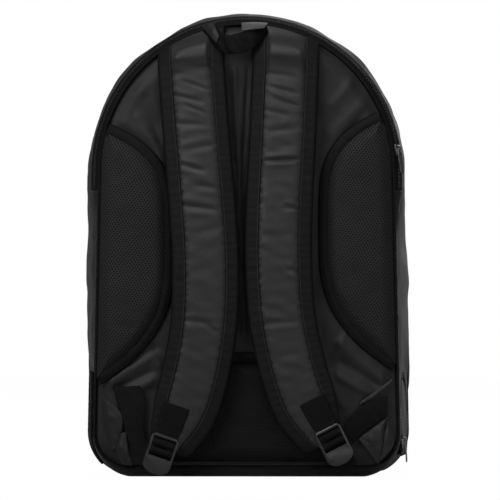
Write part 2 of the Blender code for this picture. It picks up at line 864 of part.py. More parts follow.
def handle_solid(name, curve, half, half_thick, material):
    origin = (YOKE_SHIFT, back(HANDLE_DEPTH), HANDLE_TOP_Z)
    loops = []
    for i, point in enumerate(curve):
        ahead = (curve[min(i + 1, len(curve) - 1)] - curve[max(i - 1, 0)]).normalized()
        up = Vector((0.0, 0.25, 1.0))
        up = (up - ahead * up.dot(ahead)).normalized()
        out = ahead.cross(up).normalized()
        near_end = min(i, len(curve) - 1 - i)
        reach = min(half, HANDLE_END_HALF + 0.0012 * near_end) if name == "grab_handle" else half
        corners = ((1, 1), (1, -1), (-1, -1), (-1, 1))
        loops.append([point + up * reach * a + out * half_thick * b for a, b in corners])
    loft(name, loops, material, origin=origin)


# ---------------------------------------------------------------- front


def half_moon(inset, floor_z):
    """Outline of the racket compartment's flap: an arch closed by a straight bottom edge."""
    arch = arc_points((0.0, ARCH_CENTRE_Z), ARCH_RADIUS - inset, 0.0, 180.0, 18)
    points = [(p.x, p.y) for p, _ in arch]
    half = ARCH_RADIUS - inset
    return [(half, floor_z), *points, (-half, floor_z)]


def make_racket_opening(look):
    low, high = RACKET_ZIP_INSET + ZIP_TAPE_HALF + 0.0020, 0.0105
    section = [
        (high, BODY_DEPTH + GAP),
        (high + 0.0010, BODY_DEPTH + 0.0030),
        (low, BODY_DEPTH + 0.0068),
        (low, BODY_DEPTH + 0.0050),
        (high + 0.0035, BODY_DEPTH + GAP),
    ]
    rim_band("racket_zip", upper_rim(), section, look["webbing"])
    outline = half_moon(FLAP_INSET, ZIP_END_Z - 0.003)
    levels = [
        (0.0, back(BODY_DEPTH + 0.0040)),
        (0.0, back(BODY_DEPTH + 0.0100)),
        (0.004, back(BODY_DEPTH + 0.0135)),
        (0.014, back(BODY_DEPTH + 0.0150)),
    ]
    origin = (0.0, back(BODY_DEPTH + 0.0100), ZIP_END_Z - 0.003)
    plate("racket_flap", outline, levels, look["nylon"], origin=origin)


def rounded_box(half, low, high, radius, steps=4):
    """Outline of a rectangle with round corners, in x and z."""
    corners = ((half - radius, low + radius, 270.0), (half - radius, high - radius, 0.0),
               (radius - half, high - radius, 90.0), (radius - half, low + radius, 180.0))
    points = []
    for x, z, start in corners:
        points.extend((p.x, p.y) for p, _ in arc_points((x, z), radius, start, start + 90.0, steps))
    return points


def make_front_pocket(look):
    """Accessory pocket: a shell open towards the panel behind it, with a zip across its face."""
    outline = rounded_box(POCKET_HALF_WIDTH, POCKET_BOTTOM_Z, POCKET_TOP_Z, 0.024)
    base = BODY_DEPTH + 0.0045 + GAP
    face = base + POCKET_DEPTH
    skin = 0.0018
    loops = []
    for inset, depth in ((0.0, base), (0.0005, face - 0.0060), (0.0060, face),
                         (0.0060 + skin, face - skin), (0.0005 + skin, face - 0.0060), (skin, base)):
        loops.append([(x, back(depth), z) for x, z in inset_outline(outline, inset)])
    mesh_data = bmesh.new()
    rows = [[mesh_data.verts.new(p) for p in loop] for loop in loops]
    for first, second in zip(rows[:3], rows[1:3]):
        bridge(mesh_data, first, second)
    for first, second in zip(rows[3:], rows[4:]):
        bridge(mesh_data, first, second)
    bridge(mesh_data, rows[5], rows[0])
    mesh_data.faces.new(rows[2])
    mesh_data.faces.new(rows[3])
    finish_object("front_pocket", mesh_data, look["nylon"])
    strip = slot_outline(0.088, POCKET_ZIP_Z - ZIP_TAPE_HALF, POCKET_ZIP_Z + ZIP_TAPE_HALF)
    levels = [(0.0, back(face + GAP)), (0.0, back(face + GAP + 0.0012))]
    plate("pocket_zip", strip, levels, look["webbing"])
    return face + GAP + 0.0012


# ---------------------------------------------------------------- shoe door


def door_plane():
    """The leaning side wall at the door: its middle, then its forward, up and outward directions."""
    steep = FLARE / (FLARE_END_DEPTH - GUSSET_START)
    rise = (FOOT_HALF_WIDTH - ARCH_RADIUS) / (ARCH_CENTRE_Z - CORNER_RADIUS)
    x = side_stop(1.0, DOOR_CENTRE_Z)[0].x - flare_inset(DOOR_CENTRE_DEPTH)
    middle = Vector((x, back(DOOR_CENTRE_DEPTH), DOOR_CENTRE_Z))
    forward = Vector((steep, 1.0, 0.0)).normalized()
    outward = forward.cross(Vector((-rise, 0.0, 1.0))).normalized()
    return middle, forward, outward.cross(forward), outward


def door_point(a, b, lift):
    middle, forward, up, outward = door_plane()
    return middle + forward * a + up * b + outward * lift


def door_outline(radius, chord):
    """Disc with a flat bottom, drawn in the door's own plane."""
    start = math.degrees(math.asin(chord / radius))
    arc = arc_points((0.0, 0.0), radius, start, 180.0 - start, 20)
    return [(p.x, p.y) for p, _ in arc]


def door_loft(name, outline, lifts, material, origin=(0.0, 0.0, 0.0)):
    loops = [[door_point(a, b, lift) for a, b in outline] for lift in lifts]
    return loft(name, loops, material, origin=origin)


def make_shoe_door(look):
    """The zip is a ring set in the gusset's opening, and the door is the disc inside it."""
    outer = door_outline(SHOE_ZIP_RADIUS + SHOE_ZIP_HALF, DOOR_CHORD - 0.0045)
    inner = door_outline(SHOE_ZIP_RADIUS - SHOE_ZIP_HALF, DOOR_CHORD - GAP)
    sides = ((outer, -0.0026), (outer, -0.0004), (inner, -0.0004), (inner, -0.0026))
    loops = []
    for outline, lift in sides:
        row = []
        for a, b in outline:
            sunk = corner_drop(DOOR_CENTRE_Z + b) if lift < -0.001 else 0.0
            row.append(door_point(a, b, lift - sunk))
        loops.append(row)
    loft("shoe_zip", loops, look["webbing"], closed=True)
    outline = door_outline(DOOR_RADIUS, DOOR_CHORD)
    loops = []
    for inset, lift in ((0.0, -0.0026), (0.0, -0.0004), (0.003, 0.0005)):
        loops.append([door_point(a, b, lift) for a, b in inset_outline(outline, inset)])
    loft("shoe_door", loops, look["nylon"], origin=tuple(door_point(0.0, DOOR_CHORD, -0.0004)))


def corner_drop(z):
    """How far the side wall has curved in towards the base at a height."""
    if z >= CORNER_RADIUS:
        return 0.0
    rise = CORNER_RADIUS - z
    return CORNER_RADIUS - math.sqrt(CORNER_RADIUS ** 2 - rise ** 2)


# ---------------------------------------------------------------- zip sliders


def make_slider(name, frame, look):
    """Slider and puller. Local z runs along the zip, local x lies across it and local -y points out."""
    half_l, half_w = SLIDER_LENGTH / 2, SLIDER_WIDTH / 2
    sections = ((half_l, half_w, 0.0), (0.0, half_w * 0.92, 0.0004), (-half_l, half_w * 0.62, 0.0))
    bottom, top = -0.0003, -0.0027
    loops = []
    for z, half, swell in sections:
        high = top - swell
        corners = ((-half, bottom), (half, bottom), (half * 0.8, high), (-half * 0.8, high))
        loops.append([frame @ Vector((x, y, z)) for x, y in corners])
    body = loft(f"{name}_slider", loops, look["zip_metal"], origin=tuple(frame.translation))
    arch = [(-0.0020, 0.0046), (-0.0054, 0.0036), (-0.0058, -0.0020), (-0.0022, -0.0040)]
    bridge_bar = ribbon(f"{name}_bridge_bar", arch, 0.0013, frame, look["zip_metal"], 0.0009)
    boolean(body, bridge_bar, "UNION")
    make_puller(name, frame, look)


def make_puller(name, frame, look):
    """Flat tab with a slot that hangs on the slider's bridge and turns about its top rung."""
    half = PULLER_WIDTH / 2
    _, middle, axis_z = PULLER_AXIS
    hang = axis_z + 0.0006
    near, far = middle + PULLER_THICK / 2, middle - PULLER_THICK / 2
    outline = [(half * 0.75, hang), (half, hang - 0.003)]
    tip = hang - PULLER_LENGTH
    for i in range(7):
        angle = math.pi * i / 6
        outline.append((half * math.cos(angle), tip + half - half * math.sin(angle)))
    outline.extend([(-half, hang - 0.003), (-half * 0.75, hang)])
    metal = look["zip_metal"]
    axis = tuple(frame @ Vector(PULLER_AXIS))
    tab = local_plate(f"{name}_puller", outline, near, far, frame, metal, axis)
    slot = slot_outline(0.0020, hang - 0.0085, hang - 0.0012)
    boolean(tab, local_plate("slot_cutter", slot, -0.01, 0.01, frame, metal), "DIFFERENCE")
    hole = []
    for i in range(8):
        angle = math.tau * i / 8
        hole.append((0.0014 * math.cos(angle), tip + 0.0038 + 0.0014 * math.sin(angle)))
    boolean(tab, local_plate("slot_cutter", hole, -0.01, 0.01, frame, metal), "DIFFERENCE")


def frame_from(place, along, out):
    """Matrix with local z along the zip and local -y pointing out."""
    z = Vector(along).normalized()
    y = -Vector(out).normalized()
    x = y.cross(z)
    matrix = Matrix((x, y, z)).transposed().to_4x4()
    return Matrix.Translation(Vector(place)) @ matrix


def arch_slider_frame(inset, depth, out_radial, out_forward):
    """Frame of a slider parked on an arched zip, on the right-hand side."""
    angle = math.radians(SLIDER_PARK_ANGLE)
    radial = Vector((math.cos(angle), 0.0, math.sin(angle)))
    out = radial * out_radial + Vector((0.0, out_forward, 0.0))
    place = Vector((0.0, back(depth), ARCH_CENTRE_Z)) + radial * (ARCH_RADIUS - inset)
    along = Vector((-math.sin(angle), 0.0, math.cos(angle)))
    return frame_from(place + out.normalized() * GAP, along, out)


def make_sliders(pocket_zip_depth, look):
    main = arch_slider_frame(0.0060, 0.00725, 0.830, -0.558)
    make_slider("main_zip", main, look)
    racket = arch_slider_frame(0.01825, BODY_DEPTH + 0.0049, 0.271, 0.963)
    make_slider("racket_zip", racket, look)
    angle = math.radians(SHOE_PARK_ANGLE)
    _, forward, up, outward = door_plane()
    reach = SHOE_ZIP_RADIUS
    place = door_point(reach * math.cos(angle), reach * math.sin(angle), 0.0004)
    along = forward * math.sin(angle) - up * math.cos(angle)
    make_slider("shoe_zip", frame_from(place, along, outward), look)
    place = (0.078, back(pocket_zip_depth), POCKET_ZIP_Z)
    make_slider("pocket_zip", frame_from(place, (0.0, 0.0, 1.0), (0.0, 1.0, 0.0)), look)


# ---------------------------------------------------------------- assembly


def main():
    for old in list(bpy.data.objects):
        bpy.data.objects.remove(old, do_unlink=True)
    look = make_materials()
    make_back_panel(look)
    make_back_edge(look)
    make_body_gusset(look)
    make_inner_walls(look)
    make_lower_front(look)
    make_shoe_vent(look)
    make_side_pads(look)
    make_lumbar_pad(look)
    for side_name in SIDES:
        make_strap(side_name, look)
        make_yoke(side_name, look)
        make_buckle(side_name, look)
        make_wing(side_name, look)
        make_lower_webbing(side_name, look)
    make_grab_handle(look)
    make_racket_opening(look)
    pocket_zip_depth = make_front_pocket(look)
    make_shoe_door(look)
    make_sliders(pocket_zip_depth, look)


main()
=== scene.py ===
import math
import bpy
import numpy as np
from mathutils import Matrix, Vector


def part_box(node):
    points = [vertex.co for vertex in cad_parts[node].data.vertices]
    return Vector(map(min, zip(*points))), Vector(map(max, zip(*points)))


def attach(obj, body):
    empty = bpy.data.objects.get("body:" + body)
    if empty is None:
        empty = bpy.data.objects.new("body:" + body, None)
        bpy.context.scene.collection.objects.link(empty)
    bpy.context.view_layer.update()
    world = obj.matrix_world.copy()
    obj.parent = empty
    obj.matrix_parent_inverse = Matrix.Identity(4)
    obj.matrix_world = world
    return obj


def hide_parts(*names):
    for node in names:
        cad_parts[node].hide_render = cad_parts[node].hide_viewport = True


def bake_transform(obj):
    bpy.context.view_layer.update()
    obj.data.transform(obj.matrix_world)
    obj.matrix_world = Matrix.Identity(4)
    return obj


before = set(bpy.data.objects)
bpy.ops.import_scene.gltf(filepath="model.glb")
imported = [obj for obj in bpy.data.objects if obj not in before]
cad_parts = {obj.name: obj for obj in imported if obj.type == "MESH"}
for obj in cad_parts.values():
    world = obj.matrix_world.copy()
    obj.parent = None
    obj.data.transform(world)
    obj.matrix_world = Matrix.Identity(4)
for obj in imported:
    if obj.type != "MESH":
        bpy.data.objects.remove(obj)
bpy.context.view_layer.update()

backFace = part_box("back_panel")[0].y  # depths are measured forward from here
archRadius = 0.162
archCentre = 0.317
footHalf = 0.1675
cornerRadius = 0.045
zipEnd = 0.297


# camera, light and floor

cameraSettings = {"lens": 420.0, "aim": (0.0040, 0.2353), "width": 0.516, "plane": -0.100, "turn": 1.0}


def makeCamera(s):
    data = bpy.data.cameras.new("camera")
    data.lens = s["lens"]
    distance = s["width"] * s["lens"] / data.sensor_width
    turn = math.radians(s["turn"])
    camera = bpy.data.objects.new("camera", data)
    camera.location = (s["aim"][0] + distance * math.sin(turn), s["plane"] - distance * math.cos(turn),
                       s["aim"][1])
    camera.rotation_euler = (math.pi / 2, 0.0, turn)
    data.clip_end = 60.0
    bpy.context.collection.objects.link(camera)
    bpy.context.scene.camera = camera


lightSettings = {
    "key": {"at": (-1.2, -2.2, 1.55), "size": 1.3, "power": 21.0},
    "fill": {"at": (0.85, -2.7, 0.55), "size": 1.6, "power": 7.0},
    "top": {"at": (0.0, -1.0, 2.2), "size": 0.8, "power": 13.0},
    "front": {"at": (0.7, 2.6, 1.3), "size": 2.0, "power": 24.0},
    "world": 0.10,
}


def makeLights(s):
    for name in ("key", "fill", "top", "front"):
        data = bpy.data.lights.new(name + "Light", "AREA")
        data.size = s[name]["size"]
        data.energy = s[name]["power"]
        light = bpy.data.objects.new(name + "Light", data)
        light.location = s[name]["at"]
        aim = Vector((0.0, 0.0, 0.24)) - light.location
        light.rotation_euler = aim.to_track_quat("-Z", "Y").to_euler()
        bpy.context.collection.objects.link(light)
    world = bpy.data.worlds.new("paleRoom")
    world.use_nodes = True
    nodes, links = world.node_tree.nodes, world.node_tree.links
    shade = nodes["Background"]
    path = nodes.new("ShaderNodeLightPath")
    mix = nodes.new("ShaderNodeMix")
    mix.inputs[2].default_value = s["world"]
    mix.inputs[3].default_value = 1.0  # the room is plain white to the camera
    links.new(path.outputs["Is Camera Ray"], mix.inputs[0])
    links.new(mix.outputs[0], shade.inputs["Strength"])
    shade.inputs["Color"].default_value = (1.0, 1.0, 1.0, 1.0)
    bpy.context.scene.world = world
    bpy.context.scene.view_settings.view_transform = "Standard"


def makeFloor():
    bpy.ops.object.select_all(action="DESELECT")
    bpy.ops.mesh.primitive_plane_add(size=7.0, location=(0.0, 1.2, -0.0012))
    floor = bpy.context.object
    floor.name = "paleFloor"
    look = bpy.data.materials.new("paleFloor")
    look.use_nodes = True
    nodes, links = look.node_tree.nodes, look.node_tree.links
    shader = nodes["Principled BSDF"]
    shader.inputs["Base Color"].default_value = (0.55, 0.55, 0.55, 1.0)
    shader.inputs["Roughness"].default_value = 0.9
    shader.inputs["Specular IOR Level"].default_value = 0.1
    glow = nodes.new("ShaderNodeEmission")
    blend = nodes.new("ShaderNodeMixShader")
    path = nodes.new("ShaderNodeLightPath")
    share = nodes.new("ShaderNodeMath")
    share.operation = "MULTIPLY"
    share.inputs[1].default_value = 0.97  # what is left lets a faint contact shadow show
    links.new(path.outputs["Is Camera Ray"], share.inputs[0])
    links.new(share.outputs[0], blend.inputs[0])
    links.new(shader.outputs[0], blend.inputs[1])
    links.new(glow.outputs[0], blend.inputs[2])
    links.new(blend.outputs[0], nodes["Material Output"].inputs["Surface"])
    glow.inputs["Strength"].default_value = 1.02
    floor.data.materials.append(look)


makeCamera(cameraSettings)
makeLights(lightSettings)
makeFloor()
print("stage: camera, lights and floor")


# materials

def addNode(tree, kind, inputs=None, **settings):
    node = tree.nodes.new("ShaderNode" + kind)
    for key, value in settings.items():
        setattr(node, key, value)
    for key, value in (inputs or {}).items():
        if isinstance(value, bpy.types.NodeSocket):
            tree.links.new(value, node.inputs[key])
        else:
            node.inputs[key].default_value = value
    return node


def calc(tree, operation, a, b=0.5, c=0.5):
    inputs = {0: a, 1: b}
    if operation in ("MULTIPLY_ADD", "SMOOTH_MIN", "COMPARE"):
        inputs[2] = c
    return addNode(tree, "Math", inputs, operation=operation).outputs[0]


def ramp(tree, value, low, high, start=0.0, end=1.0):
    node = addNode(tree, "MapRange", {0: value, 1: low, 2: high, 3: start, 4: end})
    node.interpolation_type = "SMOOTHSTEP"
    return node.outputs[0]


def makeGroup(name, inputs, outputs):
    tree = bpy.data.node_groups.new(name, "ShaderNodeTree")
    for label, default in inputs:
        kind = "NodeSocketVector" if default is None else "NodeSocketFloat"
        socket = tree.interface.new_socket(label, in_out="INPUT", socket_type=kind)
        if default is not None:
            socket.default_value = default
    for label in outputs:
        tree.interface.new_socket(label, in_out="OUTPUT", socket_type="NodeSocketFloat")
    return tree, tree.nodes.new("NodeGroupInput"), tree.nodes.new("NodeGroupOutput")


def weaveGroup():
    tree, start, end = makeGroup("clothWeave", [("Vector", None), ("Pitch", 0.0007)], ["Height"])
    parts = addNode(tree, "SeparateXYZ", {0: start.outputs["Vector"]})
    turn = calc(tree, "DIVIDE", math.tau, start.outputs["Pitch"])
    a = calc(tree, "SINE", calc(tree, "MULTIPLY", parts.outputs[0], turn))
    b = calc(tree, "SINE", calc(tree, "MULTIPLY", parts.outputs[1], turn))
    tree.links.new(calc(tree, "MULTIPLY_ADD", a, b, 1.0), end.inputs["Height"])
    return tree


def holesGroup():
    inputs = [("Vector", None), ("Pitch", 0.0033), ("Row", 0.0022), ("Size", 0.0009)]
    tree, start, end = makeGroup("openMesh", inputs, ["Hole", "Height"])
    parts = addNode(tree, "SeparateXYZ", {0: start.outputs["Vector"]})
    row = calc(tree, "DIVIDE", parts.outputs[1], start.outputs["Row"])
    odd = calc(tree, "MULTIPLY", calc(tree, "FLOORED_MODULO", calc(tree, "FLOOR", row), 2.0), 0.5)
    column = calc(tree, "ADD", calc(tree, "DIVIDE", parts.outputs[0], start.outputs["Pitch"]), odd)
    x = calc(tree, "MULTIPLY", calc(tree, "SUBTRACT", calc(tree, "FRACT", column), 0.5), start.outputs["Pitch"])
    y = calc(tree, "MULTIPLY", calc(tree, "SUBTRACT", calc(tree, "FRACT", row), 0.5), start.outputs["Row"])
    square = calc(tree, "ADD", calc(tree, "MULTIPLY", x, x), calc(tree, "MULTIPLY", y, y))
    reach = calc(tree, "DIVIDE", calc(tree, "SQRT", square), start.outputs["Size"])
    hole = ramp(tree, reach, 0.65, 1.15, 1.0, 0.0)
    tree.links.new(hole, end.inputs["Hole"])
    tree.links.new(calc(tree, "SUBTRACT", 1.0, hole), end.inputs["Height"])
    return tree


def tapeGroup():
    tree, start, end = makeGroup("ribbedTape", [("Vector", None), ("Rib", 0.0016)], ["Height"])
    parts = addNode(tree, "SeparateXYZ", {0: start.outputs["Vector"]})
    turn = calc(tree, "DIVIDE", math.tau, start.outputs["Rib"])
    phase = calc(tree, "MULTIPLY", parts.outputs[1], turn)
    across = calc(tree, "MULTIPLY", parts.outputs[0], 3900.0)  # each rib wavers as it crosses the tape
    side = calc(tree, "MULTIPLY", calc(tree, "SINE", across), 1.3)
    wave = calc(tree, "SINE", calc(tree, "ADD", phase, side))
    tree.links.new(calc(tree, "MULTIPLY_ADD", wave, 0.5, 0.5), end.inputs["Height"])
    return tree


def stitchGroup():
    inputs = [("Vector", None), ("At", 0.0015), ("Length", 0.0032), ("Thread", 0.00045)]
    tree, start, end = makeGroup("stitchRow", inputs, ["Mask"])
    parts = addNode(tree, "SeparateXYZ", {0: start.outputs["Vector"]})
    gap = calc(tree, "ABSOLUTE", calc(tree, "SUBTRACT", parts.outputs[0], start.outputs["At"]))
    line = ramp(tree, calc(tree, "DIVIDE", gap, start.outputs["Thread"]), 0.6, 1.2, 1.0, 0.0)
    step = calc(tree, "FRACT", calc(tree, "DIVIDE", parts.outputs[1], start.outputs["Length"]))
    middle = calc(tree, "ABSOLUTE", calc(tree, "SUBTRACT", step, 0.5))
    tree.links.new(calc(tree, "MULTIPLY", line, ramp(tree, middle, 0.28, 0.38, 1.0, 0.0)), end.inputs["Mask"])
    return tree


def creaseGroup():
    tree, start, end = makeGroup("fineCreases", [("Vector", None), ("Scale", 28.0)], ["Height", "Patch"])
    noise = addNode(tree, "TexNoise", {"Vector": start.outputs["Vector"], "Scale": start.outputs["Scale"]})
    noise.inputs["Detail"].default_value = 3.0
    noise.inputs["Distortion"].default_value = 0.8
    ridge = calc(tree, "ABSOLUTE", calc(tree, "SUBTRACT", noise.outputs["Fac"], 0.5))
    patch = addNode(tree, "TexNoise", {"Vector": start.outputs["Vector"], "Scale": 9.0})
    patch.inputs["Detail"].default_value = 2.0
    worn = ramp(tree, patch.outputs["Fac"], 0.4, 0.65)
    tree.links.new(calc(tree, "MULTIPLY", ridge, worn), end.inputs["Height"])
    tree.links.new(patch.outputs["Fac"], end.inputs["Patch"])
    return tree


groups = {
    "weave": weaveGroup(),
    "holes": holesGroup(),
    "tape": tapeGroup(),
    "stitch": stitchGroup(),
    "crease": creaseGroup(),
}


def useGroup(tree, name, inputs):
    node = tree.nodes.new("ShaderNodeGroup")
    node.node_tree = groups[name]
    for key, value in inputs.items():
        if isinstance(value, bpy.types.NodeSocket):
            tree.links.new(value, node.inputs[key])
        else:
            node.inputs[key].default_value = value
    return node


def startMaterial(name, s):
    look = bpy.data.materials.new(name)
    look.use_nodes = True
    tree = look.node_tree
    shader = tree.nodes["Principled BSDF"]
    shader.inputs["Base Color"].default_value = (*s["colour"], 1.0)
    shader.inputs["Roughness"].default_value = s["roughness"]
    shader.inputs["Specular IOR Level"].default_value = s.get("shine", 0.5)
    shader.inputs["Metallic"].default_value = s.get("metal", 0.0)
    shader.inputs["Sheen Weight"].default_value = s.get("sheen", 0.0)
    shader.inputs["Sheen Roughness"].default_value = 0.4
    return look, tree, shader


def bumpChain(tree, shader, layers):
    normal = None
    for height, distance, strength in layers:
        bump = addNode(tree, "Bump", {"Height": height, "Distance": distance, "Strength": strength})
        if normal is not None:
            tree.links.new(normal, bump.inputs["Normal"])
        normal = bump.outputs["Normal"]
    tree.links.new(normal, shader.inputs["Normal"])


def mixColour(tree, mask, first, second):
    node = addNode(tree, "Mix", data_type="RGBA")
    tree.links.new(mask, node.inputs[0])
    for index, value in ((6, first), (7, second)):
        if isinstance(value, bpy.types.NodeSocket):
            tree.links.new(value, node.inputs[index])
        else:
            node.inputs[index].default_value = (*value, 1.0)
    return node.outputs[2]


def clothMaterial(name, s, fromObject=False):
    look, tree, shader = startMaterial(name, s)
    place = addNode(tree, "TexCoord")
    flat = place.outputs["Object"] if fromObject else place.outputs["UV"]
    weave = useGroup(tree, "weave", {"Vector": flat, "Pitch": s["pitch"]})
    crease = useGroup(tree, "crease", {"Vector": place.outputs["Object"], "Scale": s["creaseScale"]})
    mask = ramp(tree, crease.outputs["Patch"], 0.35, 0.65)
    worn = tuple(c * s["worn"] for c in s["colour"])
    tree.links.new(mixColour(tree, mask, s["colour"], worn), shader.inputs["Base Color"])
    rough = ramp(tree, crease.outputs["Patch"], 0.3, 0.7, s["roughness"] - 0.05, s["roughness"] + 0.07)
    tree.links.new(rough, shader.inputs["Roughness"])
    layers = [(weave.outputs["Height"], 0.00012, s["weave"]), (crease.outputs["Height"], 0.004, s["crease"])]
    bumpChain(tree, shader, layers)
    return look


def meshMaterial(name, s):
    look, tree, shader = startMaterial(name, s)
    place = addNode(tree, "TexCoord")
    turned = addNode(tree, "Mapping", {"Vector": place.outputs["UV"], "Rotation": (0.0, 0.0, s["turn"])})
    holes = useGroup(tree, "holes", {"Vector": turned.outputs[0], "Pitch": s["pitch"], "Row": s["row"],
                                     "Size": s["size"]})
    patch = useGroup(tree, "crease", {"Vector": place.outputs["Object"], "Scale": 20.0})
    base = mixColour(tree, ramp(tree, patch.outputs["Patch"], 0.35, 0.65), s["colour"], s["second"])
    # the holes are painted near black: the layer beneath plus painted shade inside the holes
    tree.links.new(mixColour(tree, holes.outputs["Hole"], base, s["under"]), shader.inputs["Base Color"])
    tree.links.new(calc(tree, "MULTIPLY_ADD", holes.outputs["Hole"], 1.0 - s["roughness"], s["roughness"]),
                   shader.inputs["Roughness"])
    bumpChain(tree, shader, [(holes.outputs["Height"], 0.0009, s["depth"]), (patch.outputs["Height"], 0.004, 0.2)])
    return look


def tapeMaterial(name, s):
    look, tree, shader = startMaterial(name, s)
    place = addNode(tree, "TexCoord")
    tape = useGroup(tree, "tape", {"Vector": place.outputs["UV"], "Rib": s["rib"]})
    crease = useGroup(tree, "crease", {"Vector": place.outputs["Object"], "Scale": 40.0})
    # the valleys between the ribs are painted darker: painted shade in the grooves
    low = tuple(c * 0.62 for c in s["colour"])
    colour = mixColour(tree, tape.outputs["Height"], low, s["colour"])
    layers = [(tape.outputs["Height"], 0.0003, s["depth"]), (crease.outputs["Height"], 0.003, 0.25)]
    for at in s["rows"]:
        row = useGroup(tree, "stitch", {"Vector": place.outputs["UV"], "At": at})
        colour = mixColour(tree, row.outputs["Mask"], colour, s["thread"])
        layers.append((row.outputs["Mask"], 0.0005, 0.6))
    tree.links.new(colour, shader.inputs["Base Color"])
    bumpChain(tree, shader, layers)
    return look


def hardMaterial(name, s):
    look, tree, shader = startMaterial(name, s)
    place = addNode(tree, "TexCoord")
    grain = addNode(tree, "TexNoise", {"Vector": place.outputs["Object"], "Scale": s["grain"], "Detail": 4.0})
    wide = addNode(tree, "TexNoise", {"Vector": place.outputs["Object"], "Scale": 90.0, "Detail": 2.0})
    rough = ramp(tree, wide.outputs["Fac"], 0.35, 0.7, s["roughness"] - 0.06, s["roughness"] + 0.10)
    tree.links.new(rough, shader.inputs["Roughness"])
    # sharp convex edges are painted lighter: a painted edge highlight
    edge = addNode(tree, "NewGeometry")
    rim = ramp(tree, edge.outputs["Pointiness"], 0.52, 0.60)
    light = tuple(min(1.0, c * s["edge"]) for c in s["colour"])
    tree.links.new(mixColour(tree, rim, s["colour"], light), shader.inputs["Base Color"])
    bumpChain(tree, shader, [(grain.outputs["Fac"], 0.0002, s["bump"])])
    return look


looks = {
    "nylon": clothMaterial("satinNylon", {"colour": (0.0150, 0.0150, 0.0160), "roughness": 0.46, "shine": 0.34,
        "pitch": 0.0009, "weave": 0.25, "crease": 0.30, "creaseScale": 26.0, "worn": 1.25, "sheen": 0.10}),
    "strap": clothMaterial("strapNylon", {"colour": (0.0185, 0.0185, 0.0205), "roughness": 0.48, "shine": 0.45,
        "pitch": 0.0009, "weave": 0.25, "crease": 0.35, "creaseScale": 30.0, "worn": 1.15, "sheen": 0.15}),
    "side": clothMaterial("sideNylon", {"colour": (0.0166, 0.0166, 0.0198), "roughness": 0.58, "shine": 0.16,
        "pitch": 0.0010, "weave": 0.3, "crease": 0.5, "creaseScale": 22.0, "worn": 1.2, "sheen": 0.15}),
    "lining": clothMaterial("liningCloth", {"colour": (0.030, 0.030, 0.033), "roughness": 0.6, "shine": 0.3,
        "pitch": 0.0012, "weave": 0.3, "crease": 0.3, "creaseScale": 18.0, "worn": 0.8}, fromObject=True),
    "mesh": meshMaterial("airMesh", {"colour": (0.0215, 0.0215, 0.0228), "second": (0.0275, 0.0275, 0.0290),
        "under": (0.0036, 0.0036, 0.0038), "roughness": 0.60, "shine": 0.28, "pitch": 0.0033, "row": 0.0024,
        "size": 0.00095, "turn": 0.12, "depth": 0.6}),
    "meshDark": meshMaterial("lumbarMesh", {"colour": (0.0062, 0.0062, 0.0066), "second": (0.0085, 0.0085, 0.0092),
        "under": (0.0016, 0.0016, 0.0016), "roughness": 0.60, "shine": 0.20, "pitch": 0.0033, "row": 0.0024,
        "size": 0.00095, "turn": 0.0, "depth": 0.6}),
    "wing": clothMaterial("wingNylon", {"colour": (0.0098, 0.0098, 0.0108), "roughness": 0.46, "shine": 0.36,
        "pitch": 0.0009, "weave": 0.25, "crease": 0.55, "creaseScale": 40.0, "worn": 1.7, "sheen": 0.12}),
    # the handle's up-facing fold is painted about six times lighter than the satin nylon: a painted highlight
    "fold": clothMaterial("handleFoldHighlight", {"colour": (0.0900, 0.0900, 0.0930), "roughness": 0.42, "shine": 0.50,
        "pitch": 0.0009, "weave": 0.25, "crease": 0.30, "creaseScale": 34.0, "worn": 1.2, "sheen": 0.15}),
    # the light thread row along the edging's inner edge is a stitch row painted brighter as a painted highlight of
    # the padded face's edge
    "edging": tapeMaterial("strapEdging", {"colour": (0.0064, 0.0064, 0.0072), "roughness": 0.62, "shine": 0.22,
        "rib": 0.0013, "depth": 0.6, "rows": (0.0009,), "thread": (0.046, 0.046, 0.050)}),
    "binding": tapeMaterial("bindingTape", {"colour": (0.0052, 0.0052, 0.0058), "roughness": 0.64, "shine": 0.20,
        "rib": 0.0013, "depth": 0.5, "rows": (0.0017,), "thread": (0.016, 0.016, 0.017)}),
    "webbing": tapeMaterial("wovenWebbing", {"colour": (0.0042, 0.0042, 0.0046), "roughness": 0.60, "shine": 0.16,
        "rib": 0.0019, "depth": 0.8, "rows": (0.0018, 0.0232), "thread": (0.012, 0.012, 0.013)}),
    "zipTape": tapeMaterial("zipTape", {"colour": (0.0060, 0.0060, 0.0064), "roughness": 0.7, "shine": 0.2,
        "rib": 0.0010, "depth": 0.4, "rows": (), "thread": (0.01, 0.01, 0.01)}),
    "plastic": hardMaterial("buckleNylon", {"colour": (0.0165, 0.0165, 0.0170), "roughness": 0.27, "shine": 0.62,
        "grain": 2600.0, "bump": 0.20, "edge": 2.2}),
    "teeth": hardMaterial("zipCoil", {"colour": (0.014, 0.014, 0.015), "roughness": 0.38, "shine": 0.5,
        "grain": 1500.0, "bump": 0.1, "edge": 1.5}),
    "metal": hardMaterial("darkMetal", {"colour": (0.230, 0.230, 0.235), "roughness": 0.28, "metal": 1.0,
        "shine": 0.5, "grain": 1800.0, "bump": 0.15, "edge": 2.2}),
    "board": hardMaterial("stiffBoard", {"colour": (0.035, 0.034, 0.033), "roughness": 0.6, "shine": 0.4,
        "grain": 700.0, "bump": 0.4, "edge": 1.3}),
}
print("stage: materials")


# tools for shaping pieces

def deselectAll():
    if bpy.context.object and bpy.context.object.mode != "OBJECT":
        bpy.ops.object.mode_set(mode="OBJECT")
    bpy.ops.object.select_all(action="DESELECT")


def pick(piece):
    deselectAll()
    piece.select_set(True)
    bpy.context.view_layer.objects.active = piece
    return piece


def applyAll(piece):
    pick(piece)
    for modifier in list(piece.modifiers):
        bpy.ops.object.modifier_apply(modifier=modifier.name)


